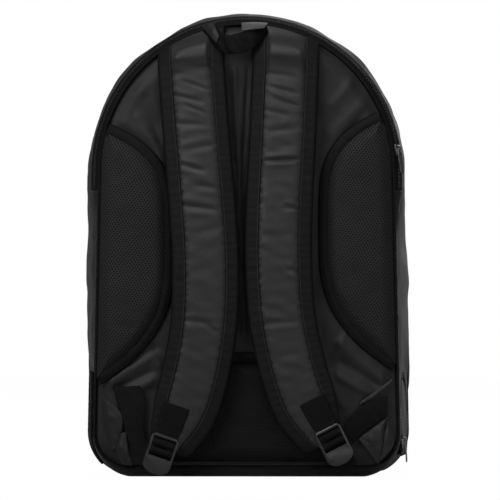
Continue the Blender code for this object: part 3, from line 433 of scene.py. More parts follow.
def finish(piece, look, body, slotName, replaced=(), angle=None):
    applyAll(piece)
    piece.data.materials.clear()
    piece.data.materials.append(looks[look])
    if angle is None:
        bpy.ops.object.shade_smooth()
    else:
        bpy.ops.object.shade_smooth_by_angle(angle=math.radians(angle))
    if body:
        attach(piece, body)
    if replaced:
        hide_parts(*replaced)
    return piece


def swell(piece, s):
    # the cloth is let out a little inside its sewn edge and pressed from behind, and no point moves past the cap
    mesh = piece.data
    before = np.array([v.co for v in mesh.vertices])
    edge = piece.vertex_groups.new(name="sewn")
    held = s["held"](before[:, 0], before[:, 2])
    for i, weight in enumerate(held):
        edge.add([i], float(weight), "REPLACE")
    cloth = piece.modifiers.new("cloth", "CLOTH")
    cloth.settings.quality = 6
    cloth.settings.mass = s["mass"]
    cloth.settings.tension_stiffness = cloth.settings.compression_stiffness = s["stiff"]
    cloth.settings.shear_stiffness = s["stiff"] * 0.4
    cloth.settings.bending_stiffness = s["bend"]
    cloth.settings.shrink_min = -s["letOut"]
    cloth.settings.use_pressure = True
    cloth.settings.uniform_pressure_force = s["pressure"]
    cloth.settings.effector_weights.gravity = 0.0
    cloth.settings.vertex_group_mass = "sewn"
    cloth.collision_settings.use_self_collision = False
    cloth.point_cache.frame_end = s["frames"]
    for number in range(1, s["frames"] + 1):
        bpy.context.scene.frame_set(number)
    bpy.context.view_layer.update()
    pick(piece)
    bpy.ops.object.modifier_apply(modifier=cloth.name)
    after = np.array([v.co for v in piece.data.vertices])
    bpy.context.scene.frame_set(1)
    move = after - before
    size = np.linalg.norm(move, axis=1)
    print("swell", piece.name, "moved up to", round(float(size.max()) * 1000, 2), "mm before the cap")
    move *= (np.minimum(size, s["cap"]) / np.maximum(size, 1e-9))[:, None]
    piece.data.vertices.foreach_set("co", (before + move).ravel())
    piece.vertex_groups.clear()
    piece.data.update()


def gridSheet(name, across, along, place, wall=0.0008, outward=(0.0, -1.0, 0.0), closed=False, seam=False,
              cloth=None):
    # place turns u and v, each from 0 to 1, into points and a flat pattern place, both in metres
    deselectAll()
    bpy.ops.mesh.primitive_grid_add(x_subdivisions=across, y_subdivisions=along, size=1.0)
    piece = bpy.context.object
    piece.name = name
    mesh = piece.data
    flat = np.empty(len(mesh.vertices) * 3)
    mesh.vertices.foreach_get("co", flat)
    flat = flat.reshape(-1, 3)
    points, pattern = place(flat[:, 0] + 0.5, flat[:, 1] + 0.5)
    mesh.vertices.foreach_set("co", np.asarray(points, float).ravel())
    corner = np.empty(len(mesh.loops), dtype=np.int32)
    mesh.loops.foreach_get("vertex_index", corner)
    mesh.uv_layers.active.data.foreach_set("uv", np.asarray(pattern, float)[corner].ravel())
    mesh.update()
    if closed or seam:
        bpy.ops.object.mode_set(mode="EDIT")
        bpy.ops.mesh.select_all(action="SELECT")
        bpy.ops.mesh.remove_doubles(threshold=0.00002)
        bpy.ops.mesh.normals_make_consistent(inside=False)
        bpy.ops.object.mode_set(mode="OBJECT")
    if cloth:
        faceOut(piece, outward)
        swell(piece, cloth)
    if not closed:
        giveWall(piece, wall, outward)
    return piece


def faceOut(piece, outward):
    # outward is a direction, or None where the sheet runs round the pack
    turned = 0.0
    for face in piece.data.polygons:
        away = Vector(outward) if outward else Vector((face.center.x, 0.0, face.center.z - 0.24))
        turned += face.area * face.normal.dot(away)
    if turned < 0:
        piece.data.flip_normals()


def giveWall(piece, wall, outward):
    faceOut(piece, outward)
    solid = piece.modifiers.new("wall", "SOLIDIFY")
    solid.thickness = wall
    solid.offset = -1.0
    applyAll(piece)


def stack(x, y, z):
    return np.stack([np.broadcast_to(a, np.shape(x + y + z)) for a in (x, y, z)], axis=-1)


def smooth(t):
    t = np.clip(t, 0.0, 1.0)
    return t * t * (3.0 - 2.0 * t)


def eased(t, share):
    # an even run from 0 to 1, crowded towards both ends by a share
    return share * (0.5 - 0.5 * np.cos(math.pi * t)) + (1.0 - share) * t


def domed(edge, width, power):
    # rises from 0 at an edge to 1 at a width in from it
    return 1.0 - (1.0 - np.clip(edge / width, 0.0, 1.0)) ** power


def bell(value, middle, width):
    return np.exp(-((value - middle) / width) ** 2)


def ripples(a, b, size, seed, count=7, stretch=1.0):
    # soft unevenness between about -1 and 1, the same on each run
    random = np.random.default_rng(seed)
    total = 0.0
    for _ in range(count):
        angle, phase = random.uniform(0.0, math.pi), random.uniform(0.0, math.tau)
        turn = math.tau / size * random.uniform(0.7, 1.5)
        total = total + np.sin(turn * (a * math.cos(angle) + b * math.sin(angle) * stretch) + phase)
    return total / math.sqrt(count) / 1.4


def folds(x, z, lines):
    # each fold is (x0, z0, x1, z1, half width, height), all in millimetres
    total = np.zeros(np.shape(x))
    for x0, z0, x1, z1, width, height in lines:
        a, b = np.array([x0, z0]) / 1000, np.array([x1, z1]) / 1000
        line = b - a
        t = np.clip(((x - a[0]) * line[0] + (z - a[1]) * line[1]) / (line @ line), 0.0, 1.0)
        gap = np.hypot(x - a[0] - line[0] * t, z - a[1] - line[1] * t)
        total += height / 1000 * np.exp(-(gap / (width / 1000)) ** 2)
    return total


def curveThrough(points, steps):
    points = np.asarray(points, float)
    padded = np.vstack([2 * points[0] - points[1], points, 2 * points[-1] - points[-2]])
    found = []
    for a, b, c, d in zip(padded, padded[1:], padded[2:], padded[3:]):
        for i in range(steps):
            t = i / steps
            found.append((2 * b + (c - a) * t + (2 * a - 5 * b + 4 * c - d) * t * t
                          + (3 * b - a - 3 * c + d) * t * t * t) / 2)
    found.append(points[-1])
    return np.array(found)


def lengths(points):
    return np.concatenate([[0.0], np.cumsum(np.linalg.norm(np.diff(points, axis=0), axis=1))])


def along(table, values, at):
    return np.stack([np.interp(at, table, values[:, i]) for i in range(values.shape[1])], axis=-1)


def sideX(z):
    return archRadius + (footHalf - archRadius) * (archCentre - z) / (archCentre - cornerRadius)


def outlineHalf(z, inset):
    # half width of the pack's outline at a height
    z = np.asarray(z, float)
    arch = np.sqrt(np.maximum((archRadius - inset) ** 2 - (z - archCentre) ** 2, 0.0))
    corner = np.sqrt(np.maximum((cornerRadius - inset) ** 2 - (z - cornerRadius) ** 2, 0.0))
    side = sideX(z) - inset
    return np.where(z > archCentre, arch, np.where(z < cornerRadius, footHalf - cornerRadius + corner, side))


# satin back panel

panelSettings = {
    "inset": 0.0112, "puff": 0.0040, "edge": 0.016, "steps": (130, 190),
    "folds": (
        (-12, 422, -9, 330, 3.0, 1.7), (2, 424, -4, 300, 2.6, -1.4), (10, 420, 4, 330, 3.2, 1.6),
        (-4, 400, -8, 262, 2.2, 1.2), (3, 320, 1, 215, 2.4, -1.3), (-5, 260, -3, 150, 2.2, 1.2),
        (-138, 372, -96, 350, 7.0, 1.6), (-128, 360, -92, 318, 5.0, -1.6), (-112, 372, -88, 330, 5.0, 1.8),
        (-104, 392, -90, 350, 4.0, -1.2), (-120, 400, -96, 408, 8.0, 1.2),
        (128, 392, 90, 356, 7.0, 1.7), (122, 378, 88, 332, 4.5, -1.4), (112, 412, 90, 386, 5.0, 1.4),
        (138, 360, 104, 348, 5.0, 1.2),
        (-140, 98, -102, 124, 5.0, 2.2), (-132, 92, -98, 110, 3.6, -1.9), (-128, 84, -100, 98, 5.0, 2.2),
        (-104, 140, -90, 116, 4.0, 1.8), (-118, 118, -94, 134, 4.0, -1.5),
        (138, 104, 98, 138, 6.0, 2.0), (134, 96, 96, 120, 4.0, -1.7), (126, 88, 96, 104, 4.5, 2.0),
        (104, 152, 92, 122, 4.0, 1.6), (86, 100, 100, 74, 3.5, 1.5),
    ),
}


def panelPlace(s):
    low, high = s["inset"], archCentre + archRadius - s["inset"] - 0.0004

    def place(u, v):
        z = low + (high - low) * eased(v, 0.28)
        half = outlineHalf(z, s["inset"])
        x = (2 * u - 1) * half
        arch = np.where(z > archCentre, archRadius - s["inset"] - np.hypot(x, z - archCentre), 1.0)
        edge = np.minimum(np.minimum(half - np.abs(x), z - low), arch)
        edge = np.clip(edge, 0.0, 1.0)
        rise = smooth(edge / s["edge"])
        out = s["puff"] * (rise - 1.0) + rise * folds(x, z, s["folds"])
        out = out + rise * 0.0006 * ripples(x, z, 0.060, 3) + rise * 0.0004 * ripples(x, z, 0.022, 5, stretch=0.5)
        return stack(x, backFace - out, z), np.stack([x, z], axis=-1)

    return place


panelPiece = gridSheet("backPanelSatin", *panelSettings["steps"], panelPlace(panelSettings), wall=0.0035)
finish(panelPiece, "nylon", "pack", "nylon", ("back_panel",))
print("stage: back panel")


# mesh side pads and their binding

padSettings = {
    "height": 0.2756, "middle": 0.2387, "reach": 0.0775, "edgeX": 0.1520, "band": 0.0115, "panelInset": 0.0118,
    "topPower": 4.6, "lowPower": 2.9, "lift": {"left": -0.006, "right": 0.009}, "thick": 0.0125, "round": 0.017,
    "steps": (50, 130),
}
sides = {"left": -1.0, "right": 1.0}


def padArc(s, sideName, z, shrink):
    rise = z - s["middle"] - s["lift"][sideName]
    power = np.where(rise > 0, s["topPower"], s["lowPower"])
    share = np.abs(rise) / (s["height"] / 2 - shrink * 1.2)
    return np.where(share < 1, s["edgeX"] - (s["reach"] - shrink) * (1 - np.minimum(share, 1.0) ** power), 9.0)


def padEnds(s, sideName, shrink, inset):
    z = np.linspace(0.05, 0.42, 3701)
    good = z[padArc(s, sideName, z, shrink) < outlineHalf(z, inset) - 0.0006]
    return good[0], good[-1]


def padPlace(s, sideName):
    side = sides[sideName]
    shrink, inset = s["band"] * 0.55, s["panelInset"] - 0.0006
    low, high = padEnds(s, sideName, shrink, inset)
    rows = np.linspace(low, high, 400)
    rim = np.stack([padArc(s, sideName, rows, shrink), rows], axis=-1)

    def place(u, v):
        z = low + (high - low) * eased(v, 0.6)
        a, b = padArc(s, sideName, z, shrink), outlineHalf(z, inset)
        x = a + (b - a) * u
        gap = np.min(np.hypot(x[:, None] - rim[None, :, 0], z[:, None] - rim[None, :, 1]), axis=1)
        edge = np.minimum(gap, b - x)
        dome = domed(edge, s["round"], 2.3)
        out = 0.0010 + s["thick"] * dome * (0.90 + 0.10 * smooth(edge / 0.03))
        out = out + 0.0004 * dome * ripples(x, z, 0.05, 11 if side < 0 else 12)
        return stack(side * x, backFace - out, z), np.stack([side * x, z], axis=-1)

    return place


def bandPlace(s, sideName):
    side = sides[sideName]
    inset = s["panelInset"] - 0.0004
    ends = [padEnds(s, sideName, shrink, inset) for shrink in (0.0, s["band"])]

    def place(u, v):
        found = []
        for (low, high), shrink in zip(ends, (0.0, s["band"])):
            z = low + (high - low) * eased(v, 0.5)
            found.append(np.stack([padArc(s, sideName, z, shrink), z], axis=-1))
        flat = found[0] + (found[1] - found[0]) * u[:, None]
        out = 0.0012 + 0.0042 * np.sin(math.pi * np.clip(0.08 + 0.80 * u, 0, 1)) ** 0.6 + 0.0012 * u
        out = out + 0.0003 * ripples(flat[:, 0], flat[:, 1], 0.02, 21)
        return stack(side * flat[:, 0], backFace - out, flat[:, 1]), np.stack([u * s["band"], v * 0.31], axis=-1)

    return place


padCloth = {"mass": 0.02, "stiff": 15.0, "bend": 4.0, "letOut": 0.001, "pressure": 2.0, "frames": 14,
            "cap": 0.0020}
for sideName in sides:
    def padHeld(x, z):
        edge = np.minimum(np.abs(x) - padArc(padSettings, sideName, z, padSettings["band"] * 0.55),
                          outlineHalf(z, padSettings["panelInset"]) - np.abs(x))
        return 1.0 - smooth((edge - 0.004) / 0.012)

    pad = gridSheet(sideName + "SidePad", *padSettings["steps"], padPlace(padSettings, sideName), wall=0.0020,
                    cloth={**padCloth, "held": padHeld})
    finish(pad, "mesh", "pack", "mesh", (sideName + "_side_pad",))
    band = gridSheet(sideName + "PadBinding", 8, 110, bandPlace(padSettings, sideName), wall=0.0010)
    finish(band, "binding", "pack", "webbing", (sideName + "_pad_binding",))
print("stage: side pads")


# lumbar pad

lumbarSettings = {"low": 0.0165, "high": 0.1190, "thick": 0.0118, "round": 0.016,
                  "shape": ((0.0165, 0.0925), (0.045, 0.0865), (0.070, 0.078), (0.100, 0.066), (0.119, 0.0585))}


def lumbarHalf(s, z):
    shape = np.array(s["shape"])
    return np.interp(z, shape[:, 0], shape[:, 1])


def lumbarPlace(s):
    def place(u, v):
        z = s["low"] + (s["high"] - s["low"]) * v
        half = lumbarHalf(s, z)
        x = (2 * u - 1) * half
        edge = np.minimum((half - np.abs(x)) * 0.97, np.minimum(z - s["low"], s["high"] - z + 0.001))
        dome = domed(edge, s["round"], 2.3)
        out = 0.0010 + s["thick"] * dome + 0.0004 * dome * ripples(x, z, 0.05, 31)
        return stack(x, backFace - out, z), np.stack([x, z], axis=-1)

    return place


def lumbarBandPlace(u, v):
    z = 0.1180 + 0.0115 * u
    half = 0.0590 - 0.0040 * u
    x = (2 * v - 1) * half
    out = 0.0012 + 0.0040 * np.sin(math.pi * np.clip(0.1 + 0.8 * u, 0, 1)) ** 0.6
    out = out + 0.0002 * ripples(x, z, 0.02, 33)
    return stack(x, backFace - out, z), np.stack([u * 0.0115, v * 0.11], axis=-1)


lumbar = gridSheet("lumbarPad", 70, 50, lumbarPlace(lumbarSettings), wall=0.0020)
finish(lumbar, "meshDark", "pack", "mesh", ("lumbar_pad",))
lumbarBand = gridSheet("lumbarBinding", 8, 60, lumbarBandPlace, wall=0.0010)
finish(lumbarBand, "binding", "pack", "webbing", ("lumbar_binding",))
print("stage: lumbar pad")


# shoulder straps, one padded piece each from the arch to the buckle

strapSettings = {
    "lift": {"left": -0.006, "right": 0.006}, "hingeZ": 0.425, "shift": -0.008, "half": 0.034,
    "endTaper": 0.55, "endShare": 0.16, "topInset": 0.0104,
    "route": ((0.0490, 0.425, 0.0125), (0.0470, 0.395, 0.0180), (0.0440, 0.345, 0.0250), (0.0395, 0.280, 0.0310),
              (0.0375, 0.225, 0.0335), (0.0400, 0.165, 0.0335), (0.0490, 0.115, 0.0320), (0.0610, 0.075, 0.0295),
              (0.0710, 0.050, 0.0268), (0.0785, 0.0300, 0.0248)),
    "yokeRun": (0.0, 0.30, 0.65, 1.0), "yokeOut": (0.0126, 0.0118, 0.0084, 0.0022),
    "yokeThick": (0.0074, 0.0072, 0.0052, 0.0018),
    "binding": 0.0112, "face": 0.0074, "edgeThick": 0.0028, "rounded": 0.012, "stitchWave": (820.0, 160.0),
    "edgeWave": (700.0, 130.0), "roll": (-0.0185, 0.0085, 0.0150, 0.0095),
    "creases": {
        "left": ((0.006, -20, 12, 14, 0.12, 3.0, 1.1), (0.022, 4, -8, 18, 0.45, 2.4, 1.3),
                 (0.034, -8, 4, 20, 0.30, 2.6, 1.5), (0.046, 0, 10, 14, 0.50, 2.2, 1.2),
                 (0.062, -4, 2, 22, 0.12, 3.0, 1.2), (0.086, 2, 0, 22, -0.10, 3.2, 1.1),
                 (0.106, -8, 6, 16, 0.40, 2.6, 1.4), (0.128, 8, 0, 18, 0.25, 3.0, 1.2),
                 (0.148, -4, 2, 24, 0.20, 3.0, 1.6), (0.172, 4, 0, 20, -0.06, 4.0, 0.9),
                 (0.212, 0, 0, 18, 0.05, 5.0, 0.6), (0.266, -2, 0, 24, 0.02, 3.0, 1.1),
                 (0.272, 10, 0, 12, 0.30, 2.4, 0.8), (0.318, 4, 0, 20, 0.10, 5.0, 0.5)),
        "right": ((0.010, -6, 0, 20, 0.10, 3.0, 1.0), (0.026, -4, 0, 22, 0.22, 2.4, 1.5),
                  (0.040, 4, 0, 20, 0.28, 2.2, 1.5), (0.050, -8, 0, 16, 0.20, 2.4, 1.1),
                  (0.068, -2, 0, 20, -0.15, 3.4, 1.2), (0.084, 6, 0, 16, -0.10, 3.0, 0.8),
                  (0.099, 0, 0, 27, -0.10, 2.2, 3.0), (0.148, 14, 0, 10, 0.15, 2.4, 1.6),
                  (0.176, -4, 0, 20, 0.05, 5.0, 0.6), (0.213, 16, 0, 10, 0.20, 2.6, 1.4),
                  (0.266, 0, 0, 24, 0.10, 3.0, 1.1), (0.300, -6, 0, 18, 0.15, 5.0, 0.6)),
    },
}


def strapTables(s, sideName):
    side = sides[sideName]
    route = np.array(s["route"])
    run = (route[:, 1] - route[-1, 1]) / (s["hingeZ"] - route[-1, 1])
    points = np.stack([side * route[:, 0] + s["shift"] * run, backFace - route[:, 2],
                       route[:, 1] + s["lift"][sideName] * 0.5 * (1.0 - run)], axis=-1)
    curve = curveThrough(points, 12)
    ahead = np.gradient(curve, axis=0)
    ahead /= np.linalg.norm(ahead, axis=1)[:, None]
    across = np.stack([-ahead[:, 2], np.zeros(len(ahead)), ahead[:, 0]], axis=-1)
    across /= np.linalg.norm(across, axis=1)[:, None]
    across *= np.sign(across[:, :1])
    out = np.cross(ahead, across)
    out *= -np.sign(out[:, 1:2])
    return {"at": lengths(curve), "curve": curve, "across": across, "out": out, "side": side,
            "middle": side * s["route"][0][0] + s["shift"], "name": sideName}


def strapReach(s, t):
    return archCentre + math.sqrt((archRadius - s["topInset"]) ** 2 - t["middle"] ** 2) - s["hingeZ"]


def strapRound(s, t, at):
    # 1 along the strap, down to 0 where its end is rounded off
    run = np.clip((at - t["at"][-1] + s["rounded"]) / s["rounded"], 0.0, 1.0)
    return np.sqrt(np.clip(1.0 - run ** 2, 0.0, 1.0))


def strapPoint(s, t, at, c, lift):
    # at is metres below the hinge, negative on the part sewn to the panel
    low = along(t["at"], t["curve"], at) + along(t["at"], t["across"], at) * c[:, None]
    turned = smooth(at / 0.030)[:, None]
    out = along(t["at"], t["out"], at) * turned + np.array([0.0, -1.0, 0.0]) * (1.0 - turned)
    low = low + out / np.linalg.norm(out, axis=1)[:, None] * lift[:, None]
    x = t["middle"] + c
    top = archCentre + np.sqrt((archRadius - s["topInset"]) ** 2 - x ** 2)
    run = np.clip(-at / strapReach(s, t), 0.0, 1.0)
    centre = np.interp(run, s["yokeRun"], s["yokeOut"])
    share = np.interp(run, s["yokeRun"], s["yokeThick"]) / s["yokeThick"][0]
    high = stack(x, backFace - centre - lift * share, s["hingeZ"] + (top - s["hingeZ"]) * run)
    return np.where((at < 0.0)[:, None], high, low)


def strapHalf(s, t, at):
    run = np.clip((at / t["at"][-1] - 1.0 + s["endShare"]) / s["endShare"], 0.0, 1.0)
    return s["half"] * (1.0 - (1.0 - s["endTaper"]) * run * run)


def strapCreases(s, t, at, c):
    total = np.zeros(np.shape(at))
    for place, middle, _, reach, tilt, width, depth in s["creases"][t["name"]]:
        gap = (at - place - tilt * (c - middle / 1000)) / (width / 1000)
        share = np.clip(1.0 - ((c - middle / 1000) / (reach / 1000)) ** 2, 0.0, 1.0)
        total += depth / 1000 * share * (0.55 * bell(np.abs(gap), 2.0, 1.3) - bell(gap, 0.0, 1.0))
    return total


def strapProfile(s, half, c):
    # how thick the padding is above its middle at a place across it
    inner = half - s["binding"]
    share = np.clip(np.abs(c) / np.maximum(inner, 0.001), 0.0, 1.0)
    face = s["face"] - (s["face"] - 0.0046) * share ** 5
    edge = 0.0040 - (0.0040 - s["edgeThick"]) * np.clip((np.abs(c) - inner) / s["binding"], 0.0, 1.0)
    return np.where(np.abs(c) <= inner, face, edge)


def strapCover(s, t):
    start = -strapReach(s, t)
    total = t["at"][-1]

    def place(u, v):
        at = start + (total - 0.0014 - start) * v
        half = strapHalf(s, t, at) - 0.0012
        end = strapRound(s, t, at)
        upper = u < 0.6
        share = np.where(upper, u / 0.6, (1.0 - u) / 0.4)
        c = (2.0 * share - 1.0) * half * (0.80 + 0.20 * end)
        thick = strapProfile(s, half, c) * (0.25 + 0.75 * end)
        rim = np.clip((half - np.abs(c)) / 0.0022, 0.0, 1.0)
        thick = thick * np.sqrt(rim * (2.0 - rim))
        pucker = bell(np.abs(c), half - s["binding"], 0.0035)
        crest, above, below, high = s["roll"]  # the padding rolls over where the strap leaves the seam
        fast, slow = s["stitchWave"]
        roll = high * bell(at, crest, np.where(at < crest, above, below))
        roll = roll * smooth((half - s["binding"] - np.abs(c)) / 0.006)
        top = thick + roll + (np.abs(c) < half - s["binding"]) * (strapCreases(s, t, at, c) * end
              - pucker * 0.0006 * (1.0 + np.sin(at * fast + 2.0 * np.sin(at * slow) + np.sign(c)))
              + 0.0004 * ripples(c, at, 0.028, 41 if t["side"] < 0 else 42, stretch=1.6))
        lift = np.where(upper, top, -thick * 0.86)
        return strapPoint(s, t, at, c, lift), np.stack([np.where(upper, c, c + 0.08), at], axis=-1)

    return place


def strapEdge(s, t, sign):
    start = -strapReach(s, t)
    total = t["at"][-1]

    def place(u, v):
        at = start + (total - start) * v
        half = strapHalf(s, t, at)
        end = strapRound(s, t, at)
        turn = np.clip((u - 0.42) / 0.16, 0.0, 1.0) * math.pi
        face = u < 0.5
        run = np.clip(np.where(face, u, 1.0 - u) / 0.42, 0.0, 1.0)
        c = half - s["binding"] * (1.0 - run) - 0.0022 + 0.0022 * np.sin(turn)
        high = 0.0056 - 0.0020 * run ** 0.7
        lift = np.where(face, 1.0, -1.0) * high
        lift = np.where((turn > 0) & (turn < math.pi), high * np.cos(turn), lift)
        fast, slow = s["edgeWave"]
        lift = lift + np.where(face, 0.00025, 0.0) * np.sin(at * fast + 1.7 * np.sin(at * slow))
        c = c * (0.80 + 0.20 * end)
        lift = lift * (0.30 + 0.70 * end)
        return strapPoint(s, t, at, sign * c, lift), np.stack([u * 0.0262, at], axis=-1)

    return place


def strapTip(s, t):
    # the binding carried round the strap's end
    total = t["at"][-1]

    def place(u, v):
        half = strapHalf(s, t, np.full(np.shape(v), total)) * 0.81
        angle = (v - 0.5) * math.pi
        turn = (u - 0.5) * math.pi
        c = half * np.sin(angle) * (1.0 - 0.30 * (np.abs(u - 0.5) * 2.0) ** 2)
        at = total - 0.0115 + 0.0112 * np.cos(angle) * (0.35 + 0.65 * np.cos(turn))
        lift = -0.0040 * np.sin(turn)
        return strapPoint(s, t, at, c, lift), np.stack([u * 0.02, v * 0.05], axis=-1)

    return place


for sideName in sides:
    t = strapTables(strapSettings, sideName)
    cover = gridSheet(sideName + "StrapCover", 90, 260, strapCover(strapSettings, t), closed=True)
    nodes = [sideName + end for end in ("_strap_yoke", "_strap_foam", "_strap_face", "_strap_lining")]
    finish(cover, "strap", None, "nylon", nodes)
    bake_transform(cover)
    for label, sign in (("Left", -1.0), ("Right", 1.0)):
        name = sideName + "StrapBinding" + label
        edge = gridSheet(name, 22, 240, strapEdge(strapSettings, t, sign), wall=0.0007)
        finish(edge, "edging", None, "webbing", (sideName + "_strap_binding",) if sign < 0 else ())
        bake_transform(edge)
    tip = gridSheet(sideName + "StrapTip", 14, 30, strapTip(strapSettings, t), wall=0.0007)
    finish(tip, "edging", sideName + "_strap", "webbing")
print("stage: shoulder straps")


# the pack's outline as a closed path, from the middle of the base up the right side and back

def rimTable():
    points, normals = [], []

    def arc(x, z, radius, start, end, steps):
        for i in range(steps + 1):
            angle = math.radians(start + (end - start) * i / steps)
            points.append((x + radius * math.cos(angle), z + radius * math.sin(angle)))
            normals.append((math.cos(angle), math.sin(angle)))

    middle = footHalf - cornerRadius
    for i in range(8):
        points.append((middle * i / 8, 0.0))
        normals.append((0.0, -1.0))
    arc(middle, cornerRadius, cornerRadius, 270, 360, 24)
    for i in range(1, 20):
        z = cornerRadius + (archCentre - cornerRadius) * i / 20
        points.append((float(sideX(z)), z))
        normals.append((1.0, 0.0))
    arc(0.0, archCentre, archRadius, 0, 90, 48)
    points, normals = np.array(points), np.array(normals)
    flip = np.array([-1.0, 1.0])
    points = np.vstack([points, (points * flip)[::-1][1:]])
    normals = np.vstack([normals, (normals * flip)[::-1][1:]])
    at = lengths(points)
    return {"at": at, "points": points, "normals": normals, "total": at[-1]}


rim = rimTable()


def rimAt(share):
    at = np.mod(share, 1.0000001) * rim["total"]
    points, normals = along(rim["at"], rim["points"], at), along(rim["at"], rim["normals"], at)
    return points, normals / np.linalg.norm(normals, axis=1)[:, None]


def rimShare(z):
    # share of the way round at which the right-hand side reaches a height
    upTo = rim["points"][:, 0] > 0.05
    z = np.asarray(z, float)
    return float(np.interp(z, rim["points"][upTo, 1], rim["at"][upTo])) / rim["total"]


def rimLean(points, normals):
    return np.abs(normals[:, 0]) * np.clip((zipEnd - points[:, 1]) / 0.055, 0.0, 1.0)


def rimLine(share, depth, inset):
    # a line round the pack at a depth and inset, and the directions out of the pack along it
    points, normals = rimAt(share)
    spot = points - normals * np.broadcast_to(inset, np.shape(share))[:, None]
    return stack(spot[:, 0], backFace + depth + 0 * share, spot[:, 1]), stack(normals[:, 0], 0 * share, normals[:, 1])


def rimPlace(start, end, profile):
    # profile gives (inset, depth, straight flat place) from u, share, place on the rim and lean
    def place(u, v):
        share = start + (end - start) * v
        points, normals = rimAt(share)
        inset, depth, flat = profile(u, share, points, rimLean(points, normals))
        spot = points - normals * inset[:, None]
        return stack(spot[:, 0], backFace + depth, spot[:, 1]), np.stack([flat, share * rim["total"]], axis=-1)

    return place


zipShare = rimShare(zipEnd)


# round piping at the edge of the back panel

def pipingProfile(u, share, points, lean):
    angle = u * math.tau
    size = 0.0014 + 0.00008 * np.sin(share * 900.0)
    return 0.0098 + size * np.cos(angle), 0.0004 + size * np.sin(angle), u * 0.012


piping = gridSheet("backPiping", 12, 420, rimPlace(0.0, 1.0, pipingProfile), closed=True)
finish(piping, "binding", "pack", "webbing", ("back_piping",))


# gusset strip between the piping and the side walls, below the zip

stripSettings = {"deep": (0.0006, 0.0040, 0.0070, 0.0105, 0.0140),
                 "straight": (0.0090, 0.0066, 0.0042, 0.0022, 0.0012),
                 "leaning": (0.0092, 0.0092, 0.0090, 0.0088, 0.0086)}


def stripProfile(u, share, points, lean):
    s = stripSettings
    run = np.linspace(0.0, 1.0, 5)
    depth = np.interp(u, run, s["deep"])
    inset = np.interp(u, run, s["straight"]) * (1 - lean) + np.interp(u, run, s["leaning"]) * lean
    swell = np.sin(math.pi * u) * (0.0009 + 0.0006 * ripples(share * 1.4, u * 0.02, 0.03, 51))
    return inset - swell, depth, u * 0.014


strip = gridSheet("gussetStrip", 14, 360, rimPlace(1.0 - zipShare, 1.0 + zipShare, stripProfile), wall=0.0010,
                  outward=None)
finish(strip, "side", "pack", "nylon", ("back_gusset_strip",))
print("stage: piping and gusset strip")


# side wall: fabric over the gusset all the way round, with the door's opening left out

doorSettings = {"z": 0.060, "depth": 0.0675, "radius": 0.0404, "chord": -0.035, "zip": 0.0450, "zipHalf": 0.0043}


flare = {"most": 0.0086, "start": 0.0155, "end": 0.118}  # how the sides widen from the back


def flareInset(depth):
    return flare["most"] * np.clip(1.0 - (depth - flare["start"]) / (flare["end"] - flare["start"]), 0.0, None)


def doorPlane(s):
    steep = flare["most"] / (flare["end"] - flare["start"])
    rise = (footHalf - archRadius) / (archCentre - cornerRadius)
    middle = Vector((float(sideX(s["z"])) - float(flareInset(s["depth"])), backFace + s["depth"], s["z"]))
    forward = Vector((steep, 1.0, 0.0)).normalized()
    outward = forward.cross(Vector((-rise, 0.0, 1.0))).normalized()
    return middle, forward, outward.cross(forward), outward


doorMiddle, doorForward, doorUp, doorOut = doorPlane(doorSettings)


def doorPoints(a, b, lift):
    return (np.array(doorMiddle) + a[:, None] * np.array(doorForward) + b[:, None] * np.array(doorUp)
            + lift[:, None] * np.array(doorOut))


wallSettings = {"start": 0.0145, "end": 0.1762, "lift": 0.0006, "wave": 0.0019, "seam": 0.122,
                "steps": (80, 500),
                "slackZ": (0.0, 0.05, 0.11, 0.20, 0.28, 0.34, 0.42, 0.48),
                "slackLeft": (0.0, 0.0, 0.0012, 0.0052, 0.0048, 0.0014, 0.0026, 0.0005),
                "slackRight": (0.0, 0.0030, 0.0038, 0.0024, 0.0004, 0.0, 0.0004, 0.0)}


def wallInset(depth, lean):
    # how far the gusset stands in from the outline: it tucks in at the front and leans out from the back
    straight = 0.0016 * np.clip((0.0375 - depth) / 0.023, 0.0, 1.0)
    straight = straight + 0.0100 * np.clip((depth - flare["end"]) / 0.0582, 0.0, 1.0) ** 2
    leaning = np.where(depth < flare["end"], flareInset(depth), straight)
    return straight * (1 - lean) + leaning * lean


def wallProfile(u, share, points, lean):
    s = wallSettings
    depth = s["start"] + (s["end"] - s["start"]) * u
    inset = wallInset(depth, lean)
    far = share * rim["total"]
    hold = smooth(u / 0.10) * smooth((1 - u) / 0.12)
    door = np.hypot(depth - doorSettings["depth"], points[:, 1] - doorSettings["z"])
    vent = np.maximum(np.abs(depth - 0.0555) - 0.036, np.abs(points[:, 1] - 0.058) - 0.052)
    free = np.where(points[:, 0] > 0, smooth((door - 0.055) / 0.03), smooth(vent / 0.02))
    pinch = 1.0 - 0.85 * bell(depth, s["seam"], 0.009)
    hold = hold * free * pinch
    wave = ripples(far, depth, 0.085, 61, stretch=0.35) + 0.5 * ripples(far, depth, 0.034, 62, stretch=0.4)
    sharp = -np.abs(ripples(far, depth, 0.12, 63, stretch=0.6)) * 0.8
    sharp = sharp - np.abs(ripples(far, depth, 0.06, 64, stretch=0.3)) * 0.5
    base = smooth((points[:, 1] - 0.004) / 0.02)
    slack = np.where(points[:, 0] > 0, np.interp(points[:, 1], s["slackZ"], s["slackRight"]),
                     np.interp(points[:, 1], s["slackZ"], s["slackLeft"]))
    slack = slack * free * pinch
    inset = inset - slack * np.sin(math.pi * np.clip(u, 0.0, 1.0)) ** 0.8
    return inset - s["lift"] - s["wave"] * hold * base * (0.7 + wave * 0.6 + sharp * 0.5 + 0.3), depth, u * 0.165


